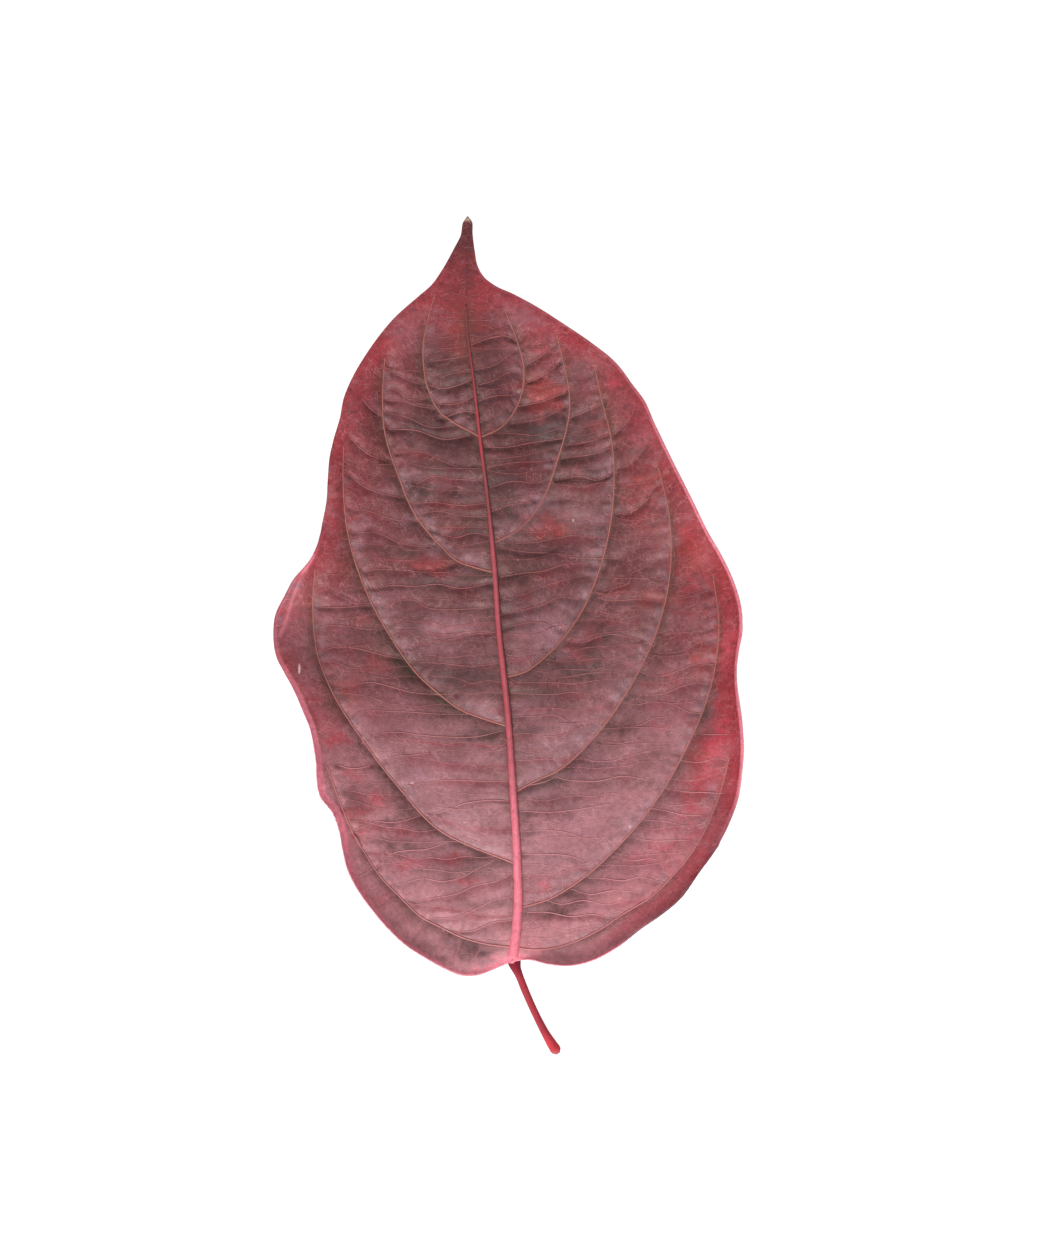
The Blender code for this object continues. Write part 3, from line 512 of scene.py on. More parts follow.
# The small veins that show best, each from the midrib or a side vein outward, in the photo's pixels.
SMALL_VEINS = [
    [(492, 607), (464, 609), (439, 609), (426, 607), (415, 600), (401, 600), (383, 605), (374, 607)],
    [(369, 603), (356, 603), (344, 598), (331, 591)],
    [(371, 605), (339, 607), (319, 607)],
    [(383, 629), (367, 629), (349, 626), (330, 625), (317, 627)],
    [(401, 659), (383, 655), (364, 650), (347, 647), (331, 648), (319, 654)],
    [(456, 694), (428, 694), (410, 692), (392, 687), (369, 682), (349, 686), (335, 689)],
    [(474, 714), (439, 714), (412, 712), (385, 711), (367, 710), (349, 717)],
    [(505, 730), (474, 737), (449, 737), (421, 735), (394, 732), (378, 734), (362, 743)],
    [(506, 662), (471, 666), (439, 663), (415, 662)],
    [(499, 632), (474, 634), (446, 640), (425, 642), (404, 652)],
    [(421, 521), (399, 520), (383, 516), (369, 511), (352, 509)],
    [(439, 546), (417, 546), (396, 541), (381, 534), (371, 532), (353, 533)],
    [(456, 562), (435, 571), (417, 571), (392, 569), (376, 569), (361, 571)],
    [(491, 583), (460, 588), (439, 584), (412, 586), (392, 585), (368, 590)],
    [(490, 516), (465, 516), (439, 511), (418, 513)],
    [(491, 536), (474, 533), (455, 537), (434, 530)],
    [(430, 753), (412, 755), (392, 757), (381, 764)],
    [(376, 762), (367, 766), (353, 768), (337, 764)],
    [(500, 548), (527, 552), (550, 553), (571, 557), (589, 558), (604, 558), (621, 558)],
    [(507, 543), (536, 542), (555, 538), (575, 535), (593, 537), (609, 537)],
    [(500, 577), (523, 573), (546, 570), (561, 565), (577, 563), (602, 568)],
    [(501, 597), (527, 593), (543, 586), (559, 581), (571, 578), (590, 575)],
    [(503, 614), (529, 608), (541, 605), (559, 597), (582, 600)],
    [(507, 627), (534, 622), (546, 623), (559, 629), (571, 633)],
    [(537, 672), (548, 677), (566, 677), (584, 674), (611, 672), (630, 676)],
    [(511, 693), (536, 694), (557, 694), (571, 692), (596, 696), (615, 702)],
    [(512, 717), (536, 716), (555, 715), (568, 721), (590, 728)],
    [(614, 516), (632, 512), (641, 505), (650, 497)],
    [(593, 593), (614, 588), (629, 582), (632, 573), (643, 568), (657, 560), (671, 557)],
    [(595, 595), (605, 600), (621, 600), (639, 599), (664, 602)],
    [(568, 641), (584, 642), (600, 636), (614, 634), (629, 637), (641, 641), (652, 647)],
    [(630, 693), (648, 695), (664, 693), (679, 687), (693, 683), (712, 684)],
    [(609, 722), (625, 727), (639, 725), (655, 718), (672, 716)],
    [(579, 757), (593, 761), (611, 761), (627, 757), (643, 752), (661, 749), (682, 754)],
    [(657, 633), (671, 633), (689, 632), (714, 628)],
    [(654, 652), (668, 653), (686, 649), (700, 642), (716, 640)],
    [(640, 672), (660, 676), (679, 670), (694, 664), (715, 664)],
    [(660, 700), (679, 707), (689, 712), (704, 713)],
    [(696, 734), (714, 734), (730, 734)],
    [(598, 741), (623, 743), (640, 738)],
    [(421, 815), (406, 820), (390, 822), (378, 821), (366, 825), (353, 830)],
    [(509, 781), (479, 781), (449, 780), (424, 783), (404, 786)],
    [(510, 801), (492, 800), (466, 803), (440, 812), (425, 816)],
    [(449, 840), (441, 844), (426, 849), (408, 850), (390, 854), (376, 868)],
    [(496, 859), (479, 868), (459, 878), (443, 881), (424, 878), (398, 884)],
    [(512, 873), (496, 881), (474, 886), (458, 893), (432, 898), (410, 902)],
    [(512, 896), (496, 899), (481, 906), (458, 916), (434, 918)],
    [(513, 920), (494, 922), (474, 930), (452, 932)],
    [(424, 924), (416, 936), (408, 944)],
    [(443, 932), (438, 947), (434, 960)],
    [(462, 940), (456, 954), (452, 968)],
    [(484, 943), (476, 956), (474, 968)],
    [(392, 896), (384, 905), (374, 908)],
    [(374, 866), (366, 872), (356, 876)],
    [(407, 911), (398, 922), (392, 930)],
    [(522, 811), (550, 812), (573, 810), (596, 806), (612, 803)],
    [(522, 832), (541, 830), (565, 832), (584, 838), (600, 842)],
    [(522, 854), (546, 854), (570, 856), (586, 862)],
    [(553, 776), (566, 780), (583, 781), (598, 781), (622, 776), (650, 780)],
    [(524, 786), (544, 782), (556, 777)],
    [(527, 912), (546, 912), (570, 916), (596, 914), (610, 918)],
    [(545, 900), (560, 904), (584, 900), (606, 904), (626, 900)],
    [(588, 878), (603, 878), (623, 880), (640, 876), (655, 880)],
    [(571, 889), (590, 894), (612, 890), (640, 892)],
    [(631, 837), (649, 840), (667, 840), (689, 839)],
    [(612, 856), (632, 860), (650, 858), (668, 862)],
    [(666, 788), (682, 791), (709, 792), (723, 793)],
    [(649, 808), (664, 810), (682, 814), (702, 815)],
    [(644, 820), (666, 821), (690, 828)],
    [(680, 760), (698, 762), (716, 758), (728, 760)],
    [(470, 355), (448, 359), (431, 361)],
    [(473, 379), (458, 385), (441, 388), (427, 384)],
    [(476, 394), (465, 401), (448, 404), (434, 402)],
    [(477, 413), (465, 411), (450, 415), (443, 418)],
    [(471, 345), (489, 338), (508, 336), (519, 342)],
    [(474, 370), (494, 365), (510, 354), (521, 348)],
    [(475, 386), (494, 380), (508, 372), (522, 370)],
    [(478, 401), (494, 396), (519, 394)],
    [(479, 423), (494, 416), (510, 409)],
    [(421, 384), (407, 379), (392, 370), (384, 357)],
    [(426, 399), (409, 399), (395, 389), (384, 387)],
    [(436, 408), (419, 406), (404, 401), (386, 400)],
    [(455, 425), (431, 427), (404, 416), (385, 413)],
    [(470, 435), (445, 439), (416, 430), (387, 429)],
    [(482, 467), (465, 468), (445, 462), (424, 452), (392, 453)],
    [(484, 480), (455, 479), (431, 476), (416, 484), (404, 490)],
    [(487, 503), (458, 505), (436, 502), (412, 503)],
    [(484, 447), (506, 447), (533, 442), (564, 438)],
    [(487, 467), (518, 462), (540, 461), (560, 458)],
    [(489, 488), (513, 481), (530, 482), (549, 479)],
    [(491, 512), (508, 505), (528, 502), (540, 498)],
    [(523, 367), (542, 355), (557, 343)],
    [(524, 384), (545, 374), (560, 362)],
    [(518, 406), (542, 401), (568, 391)],
    [(511, 423), (542, 418), (569, 404)],
    [(569, 418), (586, 411), (602, 404)],
    [(566, 445), (586, 442), (609, 435)],
    [(561, 458), (591, 454), (613, 447)],
    [(556, 480), (580, 476), (598, 480), (613, 474)],
    [(548, 500), (570, 498), (592, 502), (614, 498)],
    [(613, 435), (625, 425), (634, 411)],
    [(613, 471), (632, 462), (647, 445)],
    [(614, 515), (637, 508), (654, 488), (664, 478)],
    [(380, 416), (368, 406), (361, 396)],
    [(390, 462), (368, 454), (348, 435)],
    [(404, 498), (385, 494), (363, 486), (349, 474)],
    [(382, 378), (374, 372), (368, 360)],
]

# Finer ones fill the space between those: level, a couple of millimetres apart, wandering a little.
SMALL_SPACING = (1.3, 2.1)
SMALL_ROOM = 0.75
SMALL_SEED = 7
SMALL_POINTS = 0.2

# How far above its side vein's foot the first one starts and below that vein's end the last, how they
# climb and sway on their way out, how long a leg of them is, and the least span that has one.
FOOT_ROOM = 1.2
END_ROOM = 0.8
OUTER_CLIMB = 0.6
RISES = (-0.4, 1.0)
RISE_SHARE = 0.06
SWAY = 0.32
BOW = 0.5
LEG = 2.2
LEAST_LEGS = 3
LEAST_SPAN = 1.2

# How strong the drawn veins and the grown ones are.
DRAWN_STRENGTH = (0.5, 1.15)
GROWN_STRENGTH = (0.1, 0.36)

# How strongly small veins show at a few heights y: the lower half of the leaf is smoother.
SMALL_SHARES = ((-44, 0.5), (-14, 0.6), (4, 1.0), (56, 1.0))


def from_photo(across, down):
    """The plan point that a pixel of the photo shows."""
    return ((across - PHOTO_MIDDLE[0]) * PIXEL, (PHOTO_MIDDLE[1] - down) * PIXEL)


def photo_curve(route):
    """A smooth curve through spots of the photo, in plan."""
    return smooth_curve([from_photo(*spot) for spot in route], SMALL_POINTS)


def crossing(curve, height):
    """The x at which a curve that climbs reaches a height y."""
    return float(np.interp(height, curve[:, 1], curve[:, 0]))


def grow_small_veins(leaf, drawn):
    """Finer veins between each side vein and the next one in, clear of those drawn already."""
    draw = random.Random(SMALL_SEED)
    grown = []
    for side, veins in leaf.veins.items():
        for place, outer in enumerate(veins):
            inner = veins[place + 1] if place + 1 < len(veins) else None
            start = outer[0, 1]
            foot = inner[0, 1] if inner is not None else MIDRIB[-1][1]
            top = outer[-1, 1]
            height = start + FOOT_ROOM
            while height < top - END_ROOM:
                x_inner = crossing(leaf.midrib if height < foot else inner, height)
                grown += small_vein(draw, side, (x_inner, height), outer, height)
                height += draw.uniform(*SMALL_SPACING)
    return [(vein, strength) for vein, strength in grown if drawn.nearest(vein)[0].mean() > SMALL_ROOM]


def small_vein(draw, side, start, outer, height):
    """One small vein from a point on a vein out to the next vein, or nothing where there's no room."""
    x_outer = crossing(outer, height + OUTER_CLIMB)
    span = side * (x_outer - start[0])
    if span < LEAST_SPAN:
        return []
    rise = draw.uniform(*RISES) + RISE_SHARE * span
    count = max(LEAST_LEGS, round(span / LEG))
    route = [start]
    for i in range(1, count):
        t = i / count
        sway = draw.uniform(-SWAY, SWAY) - BOW * math.sin(math.pi * t)
        route.append((start[0] + side * span * t, start[1] + rise * t + sway))
    end_height = start[1] + rise
    route.append((crossing(outer, end_height), end_height))
    return [(smooth_curve(route, SMALL_POINTS), draw.uniform(*GROWN_STRENGTH))]


def row_heights():
    """Where rows leave the midrib: at each side vein's foot, and evenly between, closer at the base."""
    base, tip = MIDRIB[0][1], MIDRIB[-1][1]
    feet = sorted({vein[0] for vein in LEFT_VEINS + RIGHT_VEINS})
    heights = [base]
    for height in feet + [tip]:
        while heights[-1] < height - HEIGHT_SLACK:
            step = float(along(ROW_SPACINGS, heights[-1]))
            left = height - heights[-1]
            heights.append(height if left < LONGEST_STEP * step else heights[-1] + step)
    return heights


class Value:
    """A socket of a finish's nodes that Python's operators work on, each by adding a Math node."""

    def __init__(self, finish, socket):
        self.finish = finish
        self.socket = socket

    def math(self, operation, *others):
        """A Math node on this value and the others, in that order."""
        inputs = dict(enumerate((self, *others)))
        return self.finish.node("ShaderNodeMath", {"operation": operation}, inputs)

    def swapped(self, operation, first):
        """A Math node with this value second."""
        return self.finish.node("ShaderNodeMath", {"operation": operation}, {0: first, 1: self})

    def __add__(self, other):
        return self.math("ADD", other)

    def __radd__(self, other):
        return self.swapped("ADD", other)

    def __sub__(self, other):
        return self.math("SUBTRACT", other)

    def __rsub__(self, other):
        return self.swapped("SUBTRACT", other)

    def __mul__(self, other):
        return self.math("MULTIPLY", other)

    def __rmul__(self, other):
        return self.swapped("MULTIPLY", other)

    def __truediv__(self, other):
        return self.math("DIVIDE", other)

    def __pow__(self, other):
        return self.math("POWER", other)


class Finish:
    """One material as it is built: every node comes from node, and plain helpers name the common ones."""

    def __init__(self, name, roughness, specular=0.5):
        self.material = bpy.data.materials.new(name)
        self.material.use_nodes = True
        self.tree = self.material.node_tree
        self.shader = self.tree.nodes["Principled BSDF"]
        self.shader.inputs["Specular IOR Level"].default_value = specular
        self.set("Roughness", roughness)

    def put(self, socket, value):
        """A socket's link or plain value."""
        if isinstance(value, Value):
            self.tree.links.new(value.socket, socket)
        else:
            socket.default_value = value

    def node(self, kind, settings=None, inputs=None, output=0):
        """A node with its settings made first, then its sockets' values or links."""
        node = self.tree.nodes.new(kind)
        for name, value in (settings or {}).items():
            setattr(node, name, value)
        for key, value in (inputs or {}).items():
            self.put(node.inputs[key], value)
        return Value(self, node.outputs[output])

    def set(self, name, value):
        """The shader's own socket of that name."""
        self.put(self.shader.inputs[name], value)

    def place(self):
        """The point on the object, in millimetres."""
        spot = self.node("ShaderNodeTexCoord", output="Object")
        return self.node("ShaderNodeVectorMath", {"operation": "SCALE"}, {0: spot, "Scale": 1 / MM})

    def axis(self, place, name):
        """One coordinate, X, Y or Z, of a place."""
        return self.node("ShaderNodeSeparateXYZ", inputs={0: place}, output=name)

    def stretched(self, place, scale):
        """A place scaled along each axis, so that a pattern read there is stretched."""
        return self.node("ShaderNodeVectorMath", {"operation": "MULTIPLY"}, {0: place, 1: scale})

    def mark(self, name):
        """An attribute of the mesh."""
        return self.node("ShaderNodeAttribute", {"attribute_name": name}, output="Fac")

    def noise(self, place, scale, detail=2.0, roughness=0.5, distortion=0.0):
        """Soft noise about 0.5 whose features are about 1 / scale millimetres wide."""
        inputs = {"Vector": place, "Scale": scale, "Detail": detail, "Roughness": roughness,
                  "Distortion": distortion}
        return self.node("ShaderNodeTexNoise", inputs=inputs)

    def cells(self, place, scale, randomness=1.0):
        """The distance to the edges of irregular cells that are about 1 / scale millimetres wide."""
        inputs = {"Vector": place, "Scale": scale, "Randomness": randomness}
        settings = {"feature": "DISTANCE_TO_EDGE"}
        return self.node("ShaderNodeTexVoronoi", settings, inputs, output="Distance")

    def step(self, value, low, high):
        """0 below low and 1 above high, or the other way round if low is the larger, eased between."""
        settings = {"interpolation_type": "SMOOTHSTEP"}
        if low < high:
            return self.node("ShaderNodeMapRange", settings, {0: value, 1: low, 2: high, 3: 0.0, 4: 1.0})
        return self.node("ShaderNodeMapRange", settings, {0: value, 1: high, 2: low, 3: 1.0, 4: 0.0})

    def mix(self, share, first, second, blend="MIX"):
        """Two colours mixed, by a share of the second."""
        settings = {"data_type": "RGBA", "blend_type": blend, "clamp_factor": True}
        return self.node("ShaderNodeMix", settings, {0: share, 6: first, 7: second}, output=2)

    def banded(self, height, base, bands):
        """A colour with others laid over it, each given as start, end, share and colour."""
        for start, end, share, tint in bands:
            base = self.mix(self.step(height, start, end) * share, base, tint)
        return base

    def bump(self, height, distance, strength=1.0, under=None):
        """The normal after a relief of a height that spans the distance, in millimetres."""
        inputs = {"Height": height, "Distance": distance * MM, "Strength": strength}
        if under is not None:
            inputs["Normal"] = under
        return self.node("ShaderNodeBump", inputs=inputs)


def colour(red, green, blue):
    """A colour given as it looks, each part from 0 to 255, as the shader's linear values."""
    parts = [part / 255 for part in (red, green, blue)]
    return tuple(p / 12.92 if p <= 0.04045 else ((p + 0.055) / 1.055) ** 2.4 for p in parts) + (1.0,)


UPPER_BROWN = colour(102, 49, 52)
# Greyish pink for the lower half: painted sheen of the light falling there.
LOWER_SHEEN_PINK = colour(182, 122, 130)
MARGIN_RED = colour(160, 42, 54)
BROWN = colour(118, 78, 70)
PURPLE = colour(134, 80, 98)
# Painted light for the lower margins, whose curl turns them away from the key light.
LIT_MARGIN_PINK = colour(242, 164, 172)
HOT_PINK = colour(204, 56, 76)
WARM_RED = colour(156, 40, 38)
CRIMSON = colour(146, 42, 54)
MARGIN_CRIMSON = colour(176, 62, 72)
TIP_BROWN = colour(84, 30, 34)
TIP_END = colour(190, 160, 142)
# Painted olive shade on the side of the side veins that faces the base.
OLIVE_SHADE = colour(76, 62, 48)
DEEP = colour(66, 32, 34)
# Lilac for a random mottle of the face, and for the patches of painted sheen.
LILAC_TONE_AND_SHEEN = colour(172, 124, 134)
DULL = colour(136, 92, 108)
SHADE = colour(60, 34, 36)
# Painted sheen on the side of each side vein that faces the tip.
SHEEN_GREY_LILAC = colour(150, 122, 130)
RIM_PINK = colour(250, 140, 158)
RIM_DARK = colour(84, 40, 50)
RIM_CUT = colour(236, 158, 172)
PALE = colour(236, 190, 190)
NET_PINK = colour(205, 130, 130)
GRAIN_BROWN = colour(96, 60, 64)
UNDER_MAUVE = colour(158, 112, 116)
UNDER_ROSE = colour(170, 92, 98)
UNDER_NET = colour(196, 140, 138)

# The midrib's pink at its base and what follows towards the tip, then the stalk's red and its two ends, the
# end under the blade darkened as painted shade, as the heights y where each starts and is full, its share
# and its colour.
MIDRIB_PINK = colour(246, 134, 152)
MIDRIB_BANDS = (
    (-32.0, -8.0, 1.0, colour(180, 80, 90)), (10.0, 17.0, 1.0, colour(140, 66, 70)),
    (20.0, 26.0, 1.0, colour(170, 62, 68)), (27.0, 38.0, 1.0, colour(142, 56, 60)),
)
FIBRE_ROSE = colour(150, 60, 72)
BEAD_BROWN = colour(120, 62, 64)
STALK_RED = colour(172, 60, 70)
STALK_DARK = colour(144, 44, 56)
STALK_TONES_AND_SHADE = (
    (-53.0, -55.0, 0.7, colour(204, 62, 70)), (-55.7, -56.5, 1.0, colour(150, 90, 96)),
    (-46.5, -44.0, 1.0, colour(120, 26, 42)),
)

# The lighter and darker tone of each kind of vein, and its tone low on the leaf.
SIDE_COLOURS = (colour(192, 110, 104), colour(142, 84, 74), colour(188, 114, 114))
SMALL_COLOURS = (colour(176, 106, 104), colour(124, 68, 70), colour(196, 130, 134))
RIB_COLOURS = (colour(206, 138, 136), colour(186, 104, 106), colour(214, 146, 146))

# Between these heights y the tip's end turns pale, and between those the veins turn to their low tone.
TIP_END_FADE = (55.2, 55.8)
LOW_FADE = (4.0, -34.0)

# The slit near the left lobe and a few pale specks, as x, y, half their width and height, and strength.
PALE_SPECKS = [
    (-27.85, -4.6, 0.17, 0.7, 1.0), (8.8, 15.3, 0.14, 0.24, 0.5), (16.4, -25.8, 0.2, 0.24, 0.45),
    (-12.8, -19.9, 0.32, 0.12, 0.5), (1.4, 10.0, 0.12, 0.12, 0.4),
]


def blade_finish():
    """The upper face: brown-red above and greyish pink below as painted sheen, redder at the margin, netted
    all over.
    """
    finish = Finish("leaf upper face", 0.46, 0.45)
    place = finish.place()
    clouds = finish.noise(place, 0.11, 3.0, 0.55, 0.4)
    browner = finish.step(finish.noise(place, 0.17, 4.0, 0.6, 0.5), 0.46, 0.64)
    bluer = finish.step(finish.noise(finish.stretched(place, (0.7, 1.3, 1.0)), 0.24, 4.0, 0.6), 0.5, 0.68)
    grain = finish.noise(place, 1.6, 3.0, 0.6)
    # Greyish pink towards the base: painted sheen of the light on the lower half.
    lower = finish.mark("lower") + (clouds - 0.5) * 0.5
    base = finish.mix(lower, UPPER_BROWN, LOWER_SHEEN_PINK)
    base = finish.mix(browner * 0.35, base, BROWN)
    base = finish.mix(bluer * 0.4, base, PURPLE)
    # Painted light on the lower margins, whose curl turns them away from the key light.
    base = finish.mix(finish.mark("pale"), base, LIT_MARGIN_PINK)
    red = finish.mark("red") * (0.4 + 1.2 * finish.noise(place, 0.3, 4.0, 0.6, 0.6))
    base = finish.mix(red, base, MARGIN_RED)
    mottle = finish.noise(place, 0.85, 5.0, 0.7, 0.3)
    upper = 1.0 - 0.8 * finish.mark("lower")
    base = finish.mix(finish.step(mottle, 0.52, 0.7) * upper * 0.3, base, LILAC_TONE_AND_SHEEN)
    base = finish.mix(finish.step(mottle, 0.5, 0.34) * upper * 0.4, base, DEEP)
    warm = finish.mark("warm") * (0.3 + 1.4 * finish.noise(place, 0.55, 4.0, 0.65, 0.5))
    base = finish.mix(finish.step(warm, 0.1, 0.8) * 0.75, base, WARM_RED)
    hot = finish.mark("hot") * (0.3 + 1.4 * finish.noise(place, 0.9, 3.0, 0.6))
    base = finish.mix(finish.step(hot, 0.05, 0.95) * 0.75, base, HOT_PINK)
    base = finish.mix(finish.mark("band") * finish.noise(place, 0.35, 3.0) * 1.1, base, CRIMSON)
    base = finish.mix(finish.mark("deep") * (0.4 + finish.noise(place, 0.4, 4.0, 0.6)), base, DEEP)
    # Pale lilac patches of painted sheen where the face catches the light.
    base = finish.mix(finish.mark("lilac_sheen") * (0.1 + 1.1 * finish.noise(place, 0.5, 4.0, 0.6)), base, LILAC_TONE_AND_SHEEN)
    base = finish.mix(finish.mark("dull"), base, DULL)
    strip = finish.mark("strip") * (0.5 + 0.7 * finish.noise(place, 0.6, 4.0, 0.6))
    base = finish.mix(strip, base, MARGIN_CRIMSON)
    # Painted sheen, broken up, on the side of each side vein that faces the tip.
    glint = finish.step(finish.noise(place, 0.75), 0.4, 0.7) * 0.5
    base = finish.mix(finish.mark("sheen") * glint, base, SHEEN_GREY_LILAC)
    # Painted olive shade, mostly on the side of each side vein that faces the base, and in patches.
    base = finish.mix(finish.mark("olive_shade") * 1.3 * finish.noise(place, 0.3), base, OLIVE_SHADE)
    base = finish.mix(finish.mark("shade") * (0.3 + 0.8 * finish.noise(place, 0.6, 3.0)), base, SHADE)
    # The rim's pink, with a painted highlight along the left lobe's ridge.
    base = finish.mix(finish.mark("rim"), base, RIM_PINK)
    base = finish.mix(finish.mark("tip") * 0.85, base, TIP_BROWN)
    base = finish.mix(finish.step(finish.axis(place, "Y"), *TIP_END_FADE), base, TIP_END)
    for x, y, wide, tall, strength in PALE_SPECKS:
        across = (finish.axis(place, "X") - x) / wide
        up = (finish.axis(place, "Y") - y) / tall
        base = finish.mix(finish.step(across**2.0 + up**2.0, 1.4, 0.5) * strength, base, PALE)
    wander = finish.node("ShaderNodeTexNoise", inputs={"Vector": place, "Scale": 0.9}, output="Color")
    bent = finish.node("ShaderNodeVectorMath", {"operation": "MULTIPLY_ADD"},
                       {0: wander, 1: (0.7, 0.7, 0.7), 2: place})
    net = finish.step(finish.cells(bent, 1.15), 0.07, 0.0) * finish.step(finish.noise(place, 0.5), 0.35, 0.6)
    fine = finish.step(finish.cells(bent, 3.6), 0.12, 0.0)
    netted = (net * 0.26 + fine * 0.1) * (1.0 - 0.7 * finish.mark("deep"))
    base = finish.mix(netted, base, NET_PINK, "SCREEN")
    base = finish.mix(finish.step(grain, 0.35, 0.75) * 0.3, base, GRAIN_BROWN, "MULTIPLY")
    finish.set("Base Color", base)
    finish.set("Roughness", 0.4 + 0.2 * grain)
    pits = finish.bump(1.0 - net * 0.6 - fine * 0.25, 0.06, 0.8)
    finish.set("Normal", finish.bump(grain, 0.05, 0.6, pits))
    return finish.material


def under_finish():
    """The underside: paler and duller, with the net of veins standing out pale."""
    finish = Finish("leaf underside", 0.6, 0.3)
    place = finish.place()
    net = finish.step(finish.cells(place, 1.5), 0.1, 0.0)
    clouds = finish.noise(place, 0.16, 3.0, 0.55)
    base = finish.mix(clouds, UNDER_MAUVE, UNDER_ROSE)
    base = finish.mix(net * 0.45, base, UNDER_NET)
    finish.set("Base Color", base)
    finish.set("Normal", finish.bump(net, 0.08, 0.8))
    return finish.material


def rim_finish():
    """The cut of the margin: pale pink where the blade's rim is, dark elsewhere."""
    finish = Finish("leaf margin", 0.5, 0.4)
    place = finish.place()
    pink = finish.mark("rim") * (0.7 + 0.6 * finish.noise(place, 1.2))
    base = finish.mix(pink, RIM_DARK, RIM_CUT)
    base = finish.mix(finish.step(finish.axis(place, "Y"), *TIP_END_FADE), base, TIP_END)
    finish.set("Base Color", base)
    return finish.material


def midrib_finish():
    """The midrib: light pink at the base, deepening to crimson towards the tip, with fine fibres."""
    finish = Finish("midrib", 0.42, 0.5)
    place = finish.place()
    base = finish.banded(finish.axis(place, "Y"), MIDRIB_PINK, MIDRIB_BANDS)
    fibres = finish.noise(finish.stretched(place, (5.0, 0.5, 5.0)), 1.0, 2.0)
    beads = finish.step(finish.noise(place, 1.7, 3.0, 0.7), 0.46, 0.66)
    base = finish.mix((fibres - 0.35) * 0.7, base, FIBRE_ROSE)
    base = finish.mix(beads * 0.26, base, BEAD_BROWN)
    finish.set("Base Color", base)
    finish.set("Normal", finish.bump(fibres, 0.06, 0.7))
    return finish.material


def vein_finish(name, light, dark, lowest):
    """A vein's light and dark tones, mottled along it, and a third one in the lower half of the leaf."""
    finish = Finish(name, 0.48, 0.4)
    place = finish.place()
    base = finish.mix(finish.noise(place, 0.35, 3.0, 0.6), light, dark)
    low = finish.step(finish.axis(place, "Y"), *LOW_FADE)
    finish.set("Base Color", finish.mix(low, base, lowest))
    finish.set("Normal", finish.bump(finish.noise(place, 3.0), 0.03, 0.5))
    return finish.material


def stalk_finish():
    """The stalk: deep red with lengthwise fibres, lighter at its cut end, with painted shade where it runs
    under the blade.
    """
    finish = Finish("stalk", 0.75, 0.15)
    place = finish.place()
    fibres = finish.noise(finish.stretched(place, (4.0, 0.6, 4.0)), 1.0, 3.0)
    base = finish.mix(fibres, STALK_RED, STALK_DARK)
    base = finish.banded(finish.axis(place, "Y"), base, STALK_TONES_AND_SHADE)
    finish.set("Base Color", base)
    finish.set("Normal", finish.bump(fibres, 0.08, 0.6))
    return finish.material


def deselect_all():
    """Nothing is left selected, so that an operator acts only on what comes next."""
    bpy.ops.object.select_all(action="DESELECT")


def select_only(piece):
    """The piece is the one selected and active object."""
    deselect_all()
    piece.select_set(True)
    bpy.context.view_layer.objects.active = piece


def dress(piece, replaces=False):
    """The piece rides on the leaf's one body, and if it replaces the leaf, the leaf's own part is hidden."""
    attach(piece, "root")
    if replaces:
        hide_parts("leaf")


# Soft patches of colour on the upper face, as x, y, how wide and high they are, and how strong.
WARM_PATCHES = [
    (5.0, 14.7, 3.4, 1.7, 1.0), (-10.4, 9.3, 2.4, 1.6, 0.9), (-9.1, 8.2, 2.2, 1.0, 0.9),
    (5.2, 31.8, 2.8, 2.6, 1.0), (3.0, 34.1, 2.2, 2.0, 0.6), (-5.6, 41.5, 3.0, 7.0, 0.7),
    (9.0, -2.1, 2.4, 2.6, 0.6), (11.0, 0.0, 2.0, 1.6, 0.5), (19.1, 20.7, 3.0, 4.0, 0.6),
    (24.4, 10.0, 2.6, 5.0, 0.7), (28.5, 7.3, 2.0, 5.0, 0.5), (25.8, -16.8, 2.6, 5.0, 0.7),
    (25.0, -21.5, 2.8, 3.0, 0.6), (-17.4, -4.1, 3.0, 1.6, 0.5), (-21.1, -7.5, 2.4, 2.0, 0.5),
    (2.6, 17.6, 2.0, 1.2, 0.4), (20.4, 4.6, 3.4, 1.4, 0.7), (25.8, -3.4, 1.6, 3.0, 0.6),
    (17.7, 15.3, 2.2, 2.6, 0.5), (12.4, 27.4, 2.0, 3.4, 0.5), (28.6, -8.8, 1.2, 3.6, 0.6),
    (24.6, -11.4, 2.4, 1.2, 0.6), (5.0, 8.0, 2.6, 0.9, 0.5), (-24.0, 20.4, 1.4, 4.0, 0.6),
    (-26.6, 4.6, 1.6, 3.0, 0.5), (-15.8, 38.2, 2.8, 2.2, 0.5), (10.2, 22.0, 2.2, 1.2, 0.6),
    (-4.7, 50.2, 0.9, 1.6, 0.8), (22.0, -6.0, 2.2, 1.2, 0.5), (14.6, 6.2, 1.6, 2.2, 0.4),
    (-19.8, 2.0, 2.6, 1.0, 0.4), (-13.2, 24.0, 2.6, 1.2, 0.4), (21.4, 13.0, 1.4, 3.0, 0.5),
    (-20.2, -24.0, 2.2, 2.0, 0.6),
]
